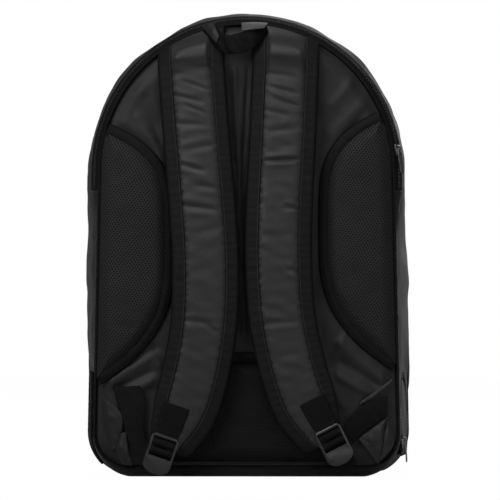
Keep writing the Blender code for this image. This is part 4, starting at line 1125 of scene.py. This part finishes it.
def cutDoor(piece, s):
    # faces inside the door's ring go, and the new edge is moved on to the ring
    mesh = piece.data
    reach = s["zip"] + s["zipHalf"] - 0.0012
    floor = s["chord"] - 0.0040
    farRight = 0.10

    def inRing(vertex):
        away = vertex.co - doorMiddle
        a, b = away.dot(doorForward), away.dot(doorUp)
        return vertex.co.x > farRight and math.hypot(a, b) < reach and b > floor, a, b

    inside = {vertex.index for vertex in mesh.vertices if inRing(vertex)[0]}
    pick(piece)
    bpy.ops.object.mode_set(mode="EDIT")
    bpy.ops.mesh.select_mode(type="FACE")
    bpy.ops.mesh.select_all(action="DESELECT")
    bpy.ops.object.mode_set(mode="OBJECT")
    for face in mesh.polygons:
        face.select = all(i in inside for i in face.vertices)
    bpy.ops.object.mode_set(mode="EDIT")
    bpy.ops.mesh.delete(type="FACE")
    bpy.ops.object.mode_set(mode="OBJECT")
    for vertex in mesh.vertices:
        found, a, b = inRing(vertex)
        gap = math.hypot(a, b)
        if found:
            if b - floor < reach - gap and b < 0:
                vertex.co += doorUp * (floor - b)
            else:
                vertex.co += (doorForward * a + doorUp * b) * (reach / gap - 1.0)
    mesh.update()


wallPiece = gridSheet("sideWall", *wallSettings["steps"], rimPlace(0.0, 1.0, wallProfile), closed=True)
cutDoor(wallPiece, doorSettings)
giveWall(wallPiece, 0.0005, None)
finish(wallPiece, "side", "pack", "nylon")
print("stage: side wall")


# zips: woven tape with a row of coil teeth

def toothShape(size):
    deselectAll()
    bpy.ops.mesh.primitive_cube_add(size=1.0)
    tooth = bpy.context.object
    tooth.scale = size
    bpy.ops.object.transform_apply(location=False, rotation=False, scale=True)
    bpy.ops.object.mode_set(mode="EDIT")
    bpy.ops.mesh.select_all(action="SELECT")
    bpy.ops.mesh.bevel(offset=min(size) * 0.3, segments=1, affect="EDGES")
    bpy.ops.object.mode_set(mode="OBJECT")
    return tooth


def copyAlong(name, base, frames):
    # one mesh that holds a copy of the base at each frame: place, across, along, out
    mesh = base.data
    points = np.array([v.co for v in mesh.vertices])
    faces = [tuple(p.vertices) for p in mesh.polygons]
    spots, built = [], []
    for i, (place, across, ahead, out) in enumerate(frames):
        turn = np.stack([across, ahead, out])
        spots.append(points @ turn + place)
        built.extend(tuple(v + i * len(points) for v in face) for face in faces)
    made = bpy.data.meshes.new(name)
    made.from_pydata(np.vstack(spots).tolist(), [], built)
    piece = bpy.data.objects.new(name, made)
    bpy.context.collection.objects.link(piece)
    bpy.data.objects.remove(base)
    return piece


def zipTeeth(name, path, outs, pitch, size, body, slant=0.35):
    at = lengths(path)
    count = int(at[-1] / pitch)
    spots = (np.arange(count) + 0.5) * at[-1] / count
    points, out = along(at, path, spots), along(at, outs, spots)
    ahead = along(at, np.gradient(path, axis=0), spots)
    frames = []
    for i in range(count):
        o = out[i] / np.linalg.norm(out[i])
        a = ahead[i] - o * (ahead[i] @ o)
        a /= np.linalg.norm(a)
        across = np.cross(a, o)
        a = a + across * slant * (1 if i % 2 else -1)
        a /= np.linalg.norm(a)
        frames.append((points[i], np.cross(a, o), a, o))
    piece = copyAlong(name, toothShape(size), frames)
    return finish(piece, "teeth", body, "plastic", angle=30)


zipSettings = {"main": ((0.0090, 0.0006), (0.0012, 0.0142)), "racket": ((0.0100, 0.1762), (0.0250, 0.1830)),
               "pitch": 0.0017, "tooth": (0.0046, 0.0010, 0.0011), "tape": 0.0155}


def zipProfile(ends, bulge):
    (inset0, depth0), (inset1, depth1) = ends

    def profile(u, share, points, lean):
        swell = bulge * np.sin(math.pi * u)
        away = np.array([depth1 - depth0, inset1 - inset0]) / math.hypot(depth1 - depth0, inset1 - inset0)
        inset = inset0 + (inset1 - inset0) * u - swell * abs(away[0])
        groove = -0.0004 * bell(u, 0.5, 0.06)
        sign = -1.0 if depth0 < 0.1 else 1.0
        depth = depth0 + (depth1 - depth0) * u + sign * (swell + groove) * abs(away[1])
        return inset, depth, u * zipSettings["tape"]

    return profile


def zipPath(ends, lift):
    (inset0, depth0), (inset1, depth1) = ends
    run = math.hypot(depth1 - depth0, inset1 - inset0)
    sign = -1.0 if depth0 < 0.1 else 1.0
    radial, forward = abs(depth1 - depth0) / run, sign * abs(inset1 - inset0) / run
    share = np.linspace(zipShare + 0.001, 1.0 - zipShare - 0.001, 500)
    points, normals = rimAt(share)
    spot = points - normals * ((inset0 + inset1) / 2 - lift * radial)
    path = stack(spot[:, 0], backFace + (depth0 + depth1) / 2 + forward * lift + 0 * share, spot[:, 1])
    outs = stack(normals[:, 0] * radial, forward + 0 * share, normals[:, 1] * radial)
    return path, outs


for label in ("main", "racket"):
    ends = zipSettings[label]
    tape = gridSheet(label + "ZipTape", 12, 300, rimPlace(zipShare, 1.0 - zipShare, zipProfile(ends, 0.0007)),
                     wall=0.0008, outward=None)
    finish(tape, "zipTape", "pack", "webbing", (label + "_zip",))
    path, outs = zipPath(ends, 0.0009)
    zipTeeth(label + "ZipTeeth", path, outs, zipSettings["pitch"], zipSettings["tooth"], "pack")
print("stage: long zips")


# sheets drawn between two edges, each edge a list of (x, z, out) in millimetres

def railSheet(name, first, second, look, body, slotName, replaced=(), bulge=0.0, wall=0.0012, across=16, wave=0.0,
              seed=71, outward=(0.0, -1.0, 0.0), lines=()):
    a, b = curveThrough(first, 8) / 1000.0, curveThrough(second, 8) / 1000.0
    a, b = (np.stack([c[:, 0], backFace - c[:, 2], c[:, 1]], axis=-1) for c in (a, b))
    steps = np.linspace(0.0, 1.0, len(a))
    width, length = float(np.linalg.norm(a - b, axis=1).mean()), float(lengths((a + b) / 2)[-1])

    def place(u, v):
        low, high = along(steps, a, v), along(steps, b, v)
        points = low + (high - low) * u[:, None]
        points[:, 1] -= bulge * np.sin(math.pi * u) + wave * ripples(points[:, 0], points[:, 2], 0.014, seed)
        if lines:
            points[:, 1] -= folds(points[:, 0], points[:, 2], lines)
        return points, np.stack([u * width, v * length], axis=-1)

    piece = gridSheet(name, across, (len(a) - 1) * 2, place, wall=wall, outward=outward)
    return finish(piece, look, body, slotName, replaced)


# grab handle: a soft band that droops from the seam, with a fold that faces up, its cloth painted lighter as a
# painted highlight

railSheet("grabHandleBand",
          ((-32, 469, 6.5), (-27, 461, 13), (-18, 457, 20), (-5, 460, 23), (8, 464, 21), (21, 468, 8)),
          ((-45, 463, 5), (-36, 449, 14), (-23, 439, 22), (-8, 438, 25), (9, 444, 23), (23, 460, 9)),
          "webbing", "grab_handle", "webbing", ("grab_handle",), bulge=0.0022, wall=0.0018, wave=0.0007,
          lines=((-22, 458, -16, 440, 2.0, 1.8), (-4, 458, 2, 442, 2.4, -1.6), (-38, 462, -27, 446, 2.0, 1.6)))
railSheet("grabHandleFold", ((-5, 470, 13), (8, 470.5, 15), (22, 470, 10)),
          ((-4, 462, 25), (8, 463.5, 26.5), (19, 464.5, 20)),
          "fold", "grab_handle", "nylon", ("grab_handle_grip",), bulge=0.0014, wall=0.0012, wave=0.0004)
railSheet("grabHandleGather", ((-45.5, 466, 6), (-40, 469, 8), (-33.5, 470, 8)),
          ((-31, 449, 21.5), (-29.5, 452, 21.5), (-28, 456, 20)),
          "wing", "grab_handle", "nylon", bulge=0.0012, wall=0.0010, wave=0.0004, seed=79)
print("stage: grab handle")


# wings and webbing at the lower corners

cornerSheets = {  # rails, look, slot, replaced nodes, bulge, wave, seed
    "leftWing": (((-151, 86, 3), (-148, 60, 3.5), (-140, 27, 3)), ((-149, 85, 4), (-128, 63, 7.5), (-134, 30, 5)),
                 "wing", "nylon", ("left_wing",), 0.0016, 0.0004, 71),
    "leftWingFold": (((-134, 45, 5), (-135, 30, 6), (-128, 13, 5)), ((-124, 47, 8), (-122, 28, 10), (-117, 12, 7)),
                     "wing", "nylon", (), 0.0020, 0.0005, 73),
    "leftLowerWebbing": (((-138, 94, 5), (-131, 70, 6.5), (-124, 45, 9), (-117, 26, 11), (-106, 12, 12)),
                         ((-110, 95, 6), (-104, 79, 8), (-105, 44, 10), (-97, 26, 13), (-85, 18, 14)),
                         "webbing", "webbing", ("left_lower_webbing",), 0.0012, 0.0003, 71),
    "rightWing": (((151, 103, 3), (134, 90, 5), (117, 78, 6)), ((151, 97, 3), (134, 83, 4.5), (117, 73, 5)),
                  "wing", "nylon", ("right_wing",), 0.0014, 0.0003, 71),
    "rightLowerWebbing": (((146, 85, 4.5), (131, 79, 6), (116, 73, 8.5), (104, 58, 12), (96, 44, 13)),
                          ((146, 64, 4.5), (132, 54, 7), (119, 45, 9), (108, 33, 12), (98, 20, 13)),
                          "webbing", "webbing", ("right_lower_webbing",), 0.0014, 0.0003, 71),
    "rightWingFoldInner": (((146, 63, 4), (130, 51, 8), (116, 40, 8.5)), ((144, 60, 4), (141, 36, 8), (137, 13, 4)),
                           "wing", "nylon", (), 0.0024, 0.0005, 75),
    "rightWingFoldOuter": (((146, 58, 4), (141, 38, 6.5), (136, 14, 4)), ((147, 57, 3), (152, 44, 4), (152, 32, 3)),
                           "wing", "nylon", (), 0.0018, 0.0004, 77),
}
for name, (first, second, look, slotName, replaced, bulge, wave, seed) in cornerSheets.items():
    railSheet(name, first, second, look, "pack", slotName, replaced, bulge=bulge, wave=wave, seed=seed)
print("stage: wings and lower webbing")


# buckles, the sewn tape that holds each, and the loose webbing

buckleSettings = {
    "place": {"left": (0.0843, 0.0359), "right": (0.0865, 0.0445)}, "out": 0.0410,
    "lean": {"left": 19.0, "right": 27.0},
    "loop": ((0.0026, 0.0415, 0.0136), (0.0034, 0.0340, 0.0136), (0.0042, 0.0260, 0.0134),
             (0.0052, 0.0160, 0.0126), (0.0052, 0.0100, 0.0116), (0.0042, 0.0064, 0.0115),
             (0.0020, 0.0042, 0.0115), (-0.0012, 0.0038, 0.0115), (-0.0030, 0.0026, 0.0115),
             (-0.0034, 0.0000, 0.0115), (-0.0026, -0.0026, 0.0115), (0.0000, -0.0036, 0.0115),
             (0.0034, -0.0030, 0.0115)),
    "bend": ((0.0004, -0.0052, 0.0115), (-0.0026, -0.0058, 0.0115), (-0.0036, -0.0080, 0.0115),
             (-0.0032, -0.0100, 0.0115), (-0.0010, -0.0124, 0.0115), (0.0024, -0.0134, 0.0115),
             (0.0038, -0.0170, 0.0118)),
    "tail": {"left": ((0.0046, -0.0220, 0.0122), (0.0052, -0.0265, 0.0124), (0.0060, -0.0305, 0.0124)),
             "right": ((0.0048, -0.0240, 0.0122), (0.0060, -0.0320, 0.0124), (0.0066, -0.0390, 0.0124))},
}


def buckleFrame(s, sideName):
    side = sides[sideName]
    across, z = s["place"][sideName]
    turn = Matrix.Rotation(-side * math.radians(s["lean"][sideName]), 4, "Y")
    return Matrix.Translation((side * across, backFace - s["out"], z)) @ turn


def tapeSheet(name, route, matrix, look, body, slotName, replaced, wall=0.0013, wave=0.0):
    curve = curveThrough(route, 6)
    at = lengths(curve[:, :2])
    steps = np.linspace(0.0, 1.0, len(curve))
    turn, shift = np.array(matrix.to_3x3()), np.array(matrix.translation)

    def place(u, v):
        spot = along(steps, curve, v)
        x = (2 * u - 1) * spot[:, 2]
        rise = wave * ripples(x, spot[:, 1], 0.012, 81)
        points = np.stack([x, spot[:, 0] + rise, spot[:, 1]], axis=-1) @ turn.T + shift
        return points, np.stack([u * 0.0250, np.interp(v, steps, at)], axis=-1)

    piece = gridSheet(name, 10, len(curve) - 1, place, wall=wall)
    return finish(piece, look, body, slotName, replaced)


def nodeCopy(name, node, look, body, slotName, bevel=0.0004, segments=3, angle=32):
    # a merged copy of a CAD node with its edges rounded
    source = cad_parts[node]
    piece = bpy.data.objects.new(name, source.data.copy())
    piece.matrix_world = source.matrix_world.copy()
    bpy.context.collection.objects.link(piece)
    pick(piece)
    bpy.ops.object.transform_apply(location=True, rotation=True, scale=True)
    bpy.ops.object.mode_set(mode="EDIT")
    bpy.ops.mesh.select_all(action="SELECT")
    bpy.ops.mesh.remove_doubles(threshold=0.00001)
    bpy.ops.mesh.dissolve_limited(angle_limit=math.radians(2.0))
    bpy.ops.object.mode_set(mode="OBJECT")
    for key in list(piece.keys()):
        if key.startswith("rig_"):
            del piece[key]
    edge = piece.modifiers.new("round", "BEVEL")
    edge.width = bevel
    edge.segments = segments
    edge.limit_method = "ANGLE"
    edge.angle_limit = math.radians(28)
    return finish(piece, look, body, slotName, (node,), angle=angle)


for sideName in sides:
    matrix = buckleFrame(buckleSettings, sideName)
    tapeSheet(sideName + "StrapLoop", buckleSettings["loop"], matrix, "webbing", sideName + "_strap", "webbing",
              (sideName + "_strap_loop",))
    tailRoute = buckleSettings["bend"] + buckleSettings["tail"][sideName]
    tapeSheet(sideName + "WebbingTail", tailRoute, matrix, "webbing", sideName + "_buckle", "webbing",
              (sideName + "_webbing_tail",), wave=0.0003)
    nodeCopy(sideName + "LadderBuckle", sideName + "_buckle", "plastic", sideName + "_buckle", "plastic",
             bevel=0.0007)
print("stage: buckles")


for label in ("main", "racket", "shoe", "pocket"):
    nodeCopy(label + "Slider", label + "_zip_slider", "metal", label + "_slider", "zip_metal", bevel=0.0005)
    nodeCopy(label + "Puller", label + "_zip_puller", "metal", label + "_puller", "zip_metal", bevel=0.0003,
             segments=2)
print("stage: sliders and pullers")


# sheets on the front, drawn in rows of a given half width, and the cords sewn round their edges

def frontSheet(name, steps, low, high, halfAt, depthAt, wall, crowd=1.0, cloth=None):
    def place(u, v):
        t = 2 * u - 1
        spread = np.sign(t) * (1 - (1 - np.abs(t)) ** crowd)
        w = 2 * v - 1
        rise = np.sign(w) * (1 - (1 - np.abs(w)) ** max(crowd, 1.35))
        z = (low + high) / 2 + (high - low) / 2 * rise
        x = spread * halfAt(z)
        return stack(x, backFace + depthAt(x, z), z), np.stack([x, z], axis=-1)

    return gridSheet(name, *steps, place, wall=wall, outward=(0.0, 1.0, 0.0), seam=True, cloth=cloth)


def sewnCord(name, path, outs, size, look, body, slotName, closed=True, segments=10, twist=900.0):
    # a round cord along a path, drawn down to a point at open ends
    at = lengths(path)
    ahead = np.gradient(path, axis=0)
    ahead /= np.linalg.norm(ahead, axis=1)[:, None]
    across = np.cross(ahead, outs)
    across /= np.linalg.norm(across, axis=1)[:, None]
    count = max(int(at[-1] / 0.0030), 12)

    def place(u, v):
        spot = v * at[-1]
        ends = np.ones(len(v)) if closed else np.sqrt(np.clip(np.minimum(v, 1 - v) * count / 1.5, 0.0, 1.0))
        angle = u * math.tau
        points = along(at, path, spot)
        bulged = along(at, across, spot) * np.cos(angle)[:, None] + along(at, outs, spot) * np.sin(angle)[:, None]
        return points + bulged * (size * ends * (1 + 0.05 * np.sin(spot * twist)))[:, None], \
            np.stack([u * size * 6.3, spot], axis=-1)

    return finish(gridSheet(name, segments, count, place, closed=True), look, body, slotName)


# lower front panel, with piping along its edge

frontSettings = {"inset": 0.0105, "high": 0.2908, "depth": 0.1792, "puff": 0.0018, "steps": (110, 120)}


def lowerFrontDepth(x, z):
    s = frontSettings
    half = outlineHalf(z, s["inset"])
    edge = np.clip(np.minimum(np.minimum(half - np.abs(x), z - s["inset"]), s["high"] - z), 0.0, 1.0)
    rise = smooth(edge / 0.014)
    wave = 0.0013 * ripples(x, z, 0.09, 91) + 0.0005 * ripples(x, z, 0.03, 92, stretch=0.6)
    pulls = folds(x, z, ((-150, 284, -100, 262, 7.0, 1.0), (150, 284, 104, 258, 7.0, 1.1),
                         (-146, 40, -108, 66, 6.0, 0.9), (148, 42, 110, 70, 6.0, 0.9),
                         (-120, 150, -106, 120, 5.0, 0.7), (126, 190, 108, 160, 5.0, 0.7)))
    pocketHold = smooth((np.maximum(np.abs(x) - 0.104, np.maximum(0.050 - z, z - 0.238))) / 0.010)
    return s["depth"] - 0.0012 * (1 - rise) + rise * pocketHold * (s["puff"] * 0.4 + wave + pulls)


lowerFront = frontSheet("lowerFrontPanel", frontSettings["steps"], frontSettings["inset"], frontSettings["high"],
                        lambda z: outlineHalf(z, frontSettings["inset"]), lowerFrontDepth, 0.0026)
finish(lowerFront, "side", "pack", "nylon", ("lower_front_panel",))
share = np.linspace(1.0 - rimShare(0.2945), 1.0 + rimShare(0.2945), 460)
path, _ = rimLine(share, 0.1782, 0.0100)
sewnCord("frontPiping", path, stack(0 * share, 1.0 + 0 * share, 0 * share), 0.0014, "binding", "pack", "webbing",
         closed=False)
share = np.linspace(rimShare(0.0030), 1.0 - rimShare(0.0030), 700)
depth = wallSettings["seam"] + 0 * share
path, outs = rimLine(share, depth, wallInset(depth, rimLean(*rimAt(share))) - 0.0009)
sewnCord("sideSeam", path, outs, 0.0011, "binding", "pack", "webbing", closed=False)
print("stage: lower front panel")


# racket compartment flap: padded half moon, its edge cord and its lining

flapSettings = {"radius": 0.1355, "low": 0.2942, "edge": 0.1852, "face": 0.1908, "puff": 0.0075, "round": 0.013,
                "steps": (120, 110)}


def flapHalf(z, inset=0.0):
    return np.sqrt(np.maximum((flapSettings["radius"] - inset) ** 2 - np.maximum(z - archCentre, 0.0) ** 2, 0.0))


def flapEdge(x, z):
    s = flapSettings
    bulged = s["radius"] - np.hypot(x, np.maximum(z - archCentre, 0.0))
    return np.clip(np.minimum(bulged, z - s["low"]), 0.0, 1.0)


def flapDepth(x, z):
    s = flapSettings
    edge = flapEdge(x, z)
    dome = domed(edge, s["round"], 2.2)
    soft = smooth((edge - 0.008) / 0.03)
    pulls = folds(x, z, ((-126, 318, -84, 336, 8.0, 1.3), (124, 322, 86, 344, 8.0, 1.2),
                         (-30, 300, -22, 350, 8.0, 0.7), (40, 300, 34, 342, 8.0, 0.8),
                         (-92, 404, -62, 380, 7.0, 1.0), (84, 412, 54, 386, 7.0, 1.0),
                         (-100, 298, -60, 304, 5.0, 0.9), (96, 298, 52, 306, 5.0, 0.9)))
    pucker = -0.0008 * bell(edge, s["round"], 0.0016)
    return s["edge"] + (s["face"] - s["edge"]) * dome + soft * (s["puff"] * smooth(edge / 0.06) * 0.6 + pulls
                                                              + 0.0015 * ripples(x, z, 0.07, 95)) + pucker


flapCloth = {"held": lambda x, z: 1.0 - smooth((flapEdge(x, z) - 0.013) / 0.012), "mass": 0.02,
             "stiff": 12.0, "bend": 0.6, "letOut": 0.045, "pressure": 2.5, "frames": 20, "cap": 0.007}
flap = frontSheet("racketFlap", flapSettings["steps"], flapSettings["low"], archCentre + flapSettings["radius"],
                  flapHalf, flapDepth, 0.0030, crowd=1.3, cloth=flapCloth)
finish(flap, "side", "racket_flap", "nylon", ("racket_flap",))
flapTop = archCentre + flapSettings["radius"]
flapLining = frontSheet("racketFlapLining", (60, 56), flapSettings["low"] + 0.0004, flapTop - 0.001,
                        lambda z: flapHalf(z, 0.001), lambda x, z: 0.1817 + 0.0003 * ripples(x, z, 0.05, 96),
                        0.0010)
finish(flapLining, "lining", "racket_flap", "lining")
angle = np.linspace(0.0, math.pi, 260)
cordRadius = flapSettings["radius"] - 0.0004
arch = stack(cordRadius * np.cos(angle), 0 * angle, archCentre + cordRadius * np.sin(angle))
low = np.linspace(0.2955, archCentre, 20)[:-1]
sideRun = stack(0 * low + cordRadius, 0 * low, low)
edgePath = np.vstack([sideRun, arch, (sideRun * np.array([-1.0, 1.0, 1.0]))[::-1]])
edgePath[:, 1] = backFace + 0.1845
sewnCord("racketFlapCord", edgePath, np.tile([0.0, 1.0, 0.0], (len(edgePath), 1)), 0.0016, "binding",
         "racket_flap", "webbing", closed=False)
print("stage: racket flap")


# front pocket with its zip

pocketSettings = {"half": 0.102, "low": 0.052, "high": 0.236, "corner": 0.024, "base": 0.1808, "face": 0.2018,
                  "round": 0.0085, "puff": 0.0046, "zipZ": 0.2120, "zipHalf": 0.0045, "zipLong": 0.088,
                  "steps": (140, 130)}


def pocketHalf(z, s=pocketSettings):
    drop = np.maximum(np.maximum(s["low"] + s["corner"] - z, z - s["high"] + s["corner"]), 0.0)
    return s["half"] - s["corner"] + np.sqrt(np.maximum(s["corner"] ** 2 - drop ** 2, 0.0))


def pocketEdge(x, z, s=pocketSettings):
    middle, tall = (s["low"] + s["high"]) / 2, (s["high"] - s["low"]) / 2
    a, b = np.abs(x) - s["half"] + s["corner"], np.abs(z - middle) - tall + s["corner"]
    return s["corner"] - np.hypot(np.maximum(a, 0), np.maximum(b, 0)) - np.minimum(np.maximum(a, b), 0.0)


def pocketDepth(x, z):
    s = pocketSettings
    edge = np.clip(pocketEdge(x, z), 0.0, 1.0)
    dome = domed(edge, s["round"], 2.6) ** (1 / 1.6)
    below = smooth((s["zipZ"] - 0.016 - z) / 0.05) * smooth((edge - 0.006) / 0.035)
    pleats = folds(x, z, ((-96, 60, -62, 92, 5.0, 1.6), (-82, 56, -50, 78, 4.0, -1.3), (96, 60, 60, 90, 5.0, 1.6),
                          (80, 56, 48, 76, 4.0, -1.3), (-96, 150, -66, 156, 7.0, 1.0),
                          (96, 146, 68, 150, 7.0, 1.0),
                          (-40, 196, -30, 160, 7.0, 0.8), (36, 196, 30, 166, 7.0, 0.8)))
    hold = smooth((edge - 0.005) / 0.010) * smooth((s["zipZ"] - 0.010 - z) / 0.012)
    seam = -0.0008 * bell(np.abs(z - s["zipZ"]), 0.0085, 0.0011) - 0.0009 * bell(edge, s["round"], 0.0011)
    return (s["base"] + (s["face"] - s["base"]) * dome + below * s["puff"]
            + hold * (1.5 * pleats + 0.0012 * ripples(x, z, 0.05, 97)) + seam * smooth(edge / 0.006))


pocketCloth = {"held": lambda x, z: np.maximum(1.0 - smooth((pocketEdge(x, z) - 0.010) / 0.010),
                                              smooth((z - pocketSettings["zipZ"] + 0.020) / 0.008)),
               "mass": 0.02, "stiff": 12.0, "bend": 0.6, "letOut": 0.04, "pressure": 2.5, "frames": 20,
               "cap": 0.005}
pocket = frontSheet("frontPocket", pocketSettings["steps"], pocketSettings["low"], pocketSettings["high"],
                    pocketHalf, pocketDepth, 0.0016, crowd=1.9, cloth=pocketCloth)
finish(pocket, "side", "pack", "nylon", ("front_pocket",))


def pocketZipPlace(u, v):
    s = pocketSettings
    x = (2 * v - 1) * s["zipLong"]
    z = s["zipZ"] + (2 * u - 1) * s["zipHalf"]
    depth = 0.2031 - 0.0005 * bell(u, 0.5, 0.08) + 0.0001 * np.sin(x * 900.0)
    return stack(x, backFace + depth, z), np.stack([u * zipSettings["tape"], x], axis=-1)


pocketTape = gridSheet("pocketZipTape", 12, 90, pocketZipPlace, wall=0.0008, outward=(0.0, 1.0, 0.0))
finish(pocketTape, "zipTape", "pack", "webbing", ("pocket_zip",))
run = np.linspace(-pocketSettings["zipLong"] + 0.002, pocketSettings["zipLong"] - 0.002, 60)
zipTeeth("pocketZipTeeth", stack(run, backFace + 0.2036 + 0 * run, pocketSettings["zipZ"] + 0 * run),
         stack(0 * run, 1.0 + 0 * run, 0 * run), zipSettings["pitch"], (0.0042, 0.0010, 0.0010), "pack")
for label, rise in (("Upper", 0.0062), ("Lower", -0.0062)):
    run = np.linspace(-0.0905, 0.0905, 60)
    sewnCord("pocketZipLip" + label,
             stack(run, backFace + 0.2026 + 0 * run, pocketSettings["zipZ"] + rise + 0 * run),
             stack(0 * run, 1.0 + 0 * run, 0 * run), 0.0011, "binding", "pack", "webbing", closed=False)
print("stage: front pocket")


# shoe compartment: zip ring, teeth, door and mesh vent

def ringOutline(radius, chord, share):
    # share runs from 0 to 1 along the arc, then along the flat bottom and back to the start
    start = math.asin(chord / radius)
    sweep = math.pi - 2 * start
    width = 2 * radius * math.cos(start)
    split = sweep * radius / (sweep * radius + width)
    run = np.clip(share / split, 0.0, 1.0)
    angle = start + sweep * run
    back = np.clip((share - split) / (1.0 - split), 0.0, 1.0)
    a = np.where(share <= split, radius * np.cos(angle), width * (back - 0.5))
    b = np.where(share <= split, radius * np.sin(angle), chord)
    return a, b


def shoeRingPlace(u, v):
    s = doorSettings
    share = np.mod(v, 1.0)
    a0, b0 = ringOutline(s["zip"] - s["zipHalf"] + 0.0001, s["chord"] - 0.0004, share)
    a1, b1 = ringOutline(s["zip"] + s["zipHalf"], s["chord"] - 0.0045, share)
    a, b = a0 + (a1 - a0) * u, b0 + (b1 - b0) * u
    lift = -0.0008 + 0.0007 * np.sin(math.pi * u) - 0.0004 * bell(u, 0.5, 0.06)
    return doorPoints(a, b, lift), np.stack([u * zipSettings["tape"], v * 0.27], axis=-1)


shoeTape = gridSheet("shoeZipTape", 12, 180, shoeRingPlace, wall=0.0010, outward=tuple(doorOut), seam=True)
finish(shoeTape, "zipTape", "pack", "webbing", ("shoe_zip",))
floorAngle = math.asin(doorSettings["chord"] / doorSettings["zip"])
turn = np.linspace(floorAngle + 0.03, math.pi - floorAngle - 0.03, 160)
toothPath = doorPoints(doorSettings["zip"] * np.cos(turn), doorSettings["zip"] * np.sin(turn), 0 * turn + 0.0004)
zipTeeth("shoeZipTeeth", toothPath, np.tile(np.array(doorOut), (len(turn), 1)), zipSettings["pitch"],
         (0.0044, 0.0010, 0.0010), "pack")


def shoeDoorPlace(u, v):
    s = doorSettings
    radius = s["radius"] - 0.0002
    b = s["chord"] + 0.0002 + (radius - s["chord"] - 0.0002) * np.sin(v * math.pi / 2)
    half = np.sqrt(np.maximum(radius ** 2 - b ** 2, 0.0))
    a = (2 * u - 1) * half
    edge = np.clip(np.minimum(radius - np.hypot(a, b), b - s["chord"]), 0.0, 1.0)
    lift = -0.0010 + 0.0017 * domed(edge, 0.005, 2) + 0.0006 * smooth(edge / 0.03)
    lift = lift - 0.0005 * bell(edge, 0.0052, 0.0008)
    lift = lift + 0.0003 * smooth(edge / 0.01) * ripples(a, b, 0.03, 98)
    return doorPoints(a, b, lift), np.stack([a, b], axis=-1)


shoeDoor = gridSheet("shoeDoorPanel", 60, 60, shoeDoorPlace, wall=0.0014, outward=tuple(doorOut), seam=True)
finish(shoeDoor, "side", "shoe_door", "nylon", ("shoe_door",))


ventSettings = {"low": 0.0120, "high": 0.1070, "back": 0.0225, "front": 0.0885, "lift": 0.0022, "steps": (44, 70)}


def ventProfile(u, share, points, lean):
    s = ventSettings
    depth = s["back"] + (s["front"] - s["back"]) * u
    return wallInset(depth, lean) - s["lift"], depth, u * (s["front"] - s["back"])


ventEnds = (1.0 - rimShare(ventSettings["high"]), 1.0 - rimShare(ventSettings["low"]))
vent = gridSheet("shoeVent", *ventSettings["steps"], rimPlace(*ventEnds, ventProfile), wall=0.0014, outward=None)
finish(vent, "mesh", "pack", "mesh", ("shoe_vent",))
spots = np.array([(0.0, 0.0), (1.0, 0.0), (1.0, 1.0), (0.0, 1.0), (0.0, 0.0)])
spots = np.vstack([along(np.arange(5.0), spots, np.linspace(0.0, 4.0, 241))])
share = ventEnds[0] + (ventEnds[1] - ventEnds[0]) * spots[:, 1]
points, normals = rimAt(share)
inset, depth, _ = ventProfile(spots[:, 0], share, points, rimLean(points, normals))
sewnCord("shoeVentEdge", *rimLine(share, depth, inset + 0.0003), 0.0015, "binding", "pack", "webbing")
print("stage: shoe compartment")


# boards and lining that carry over from the frame

for look, nodes in (("board", ("back_frame_sheet", "base_board")),
                    ("lining", ("body_gusset", "racket_divider", "shoe_shelf", "laptop_sleeve"))):
    for node in nodes:
        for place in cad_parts[node].material_slots:
            place.material = looks[look]
print("stage: boards and lining")
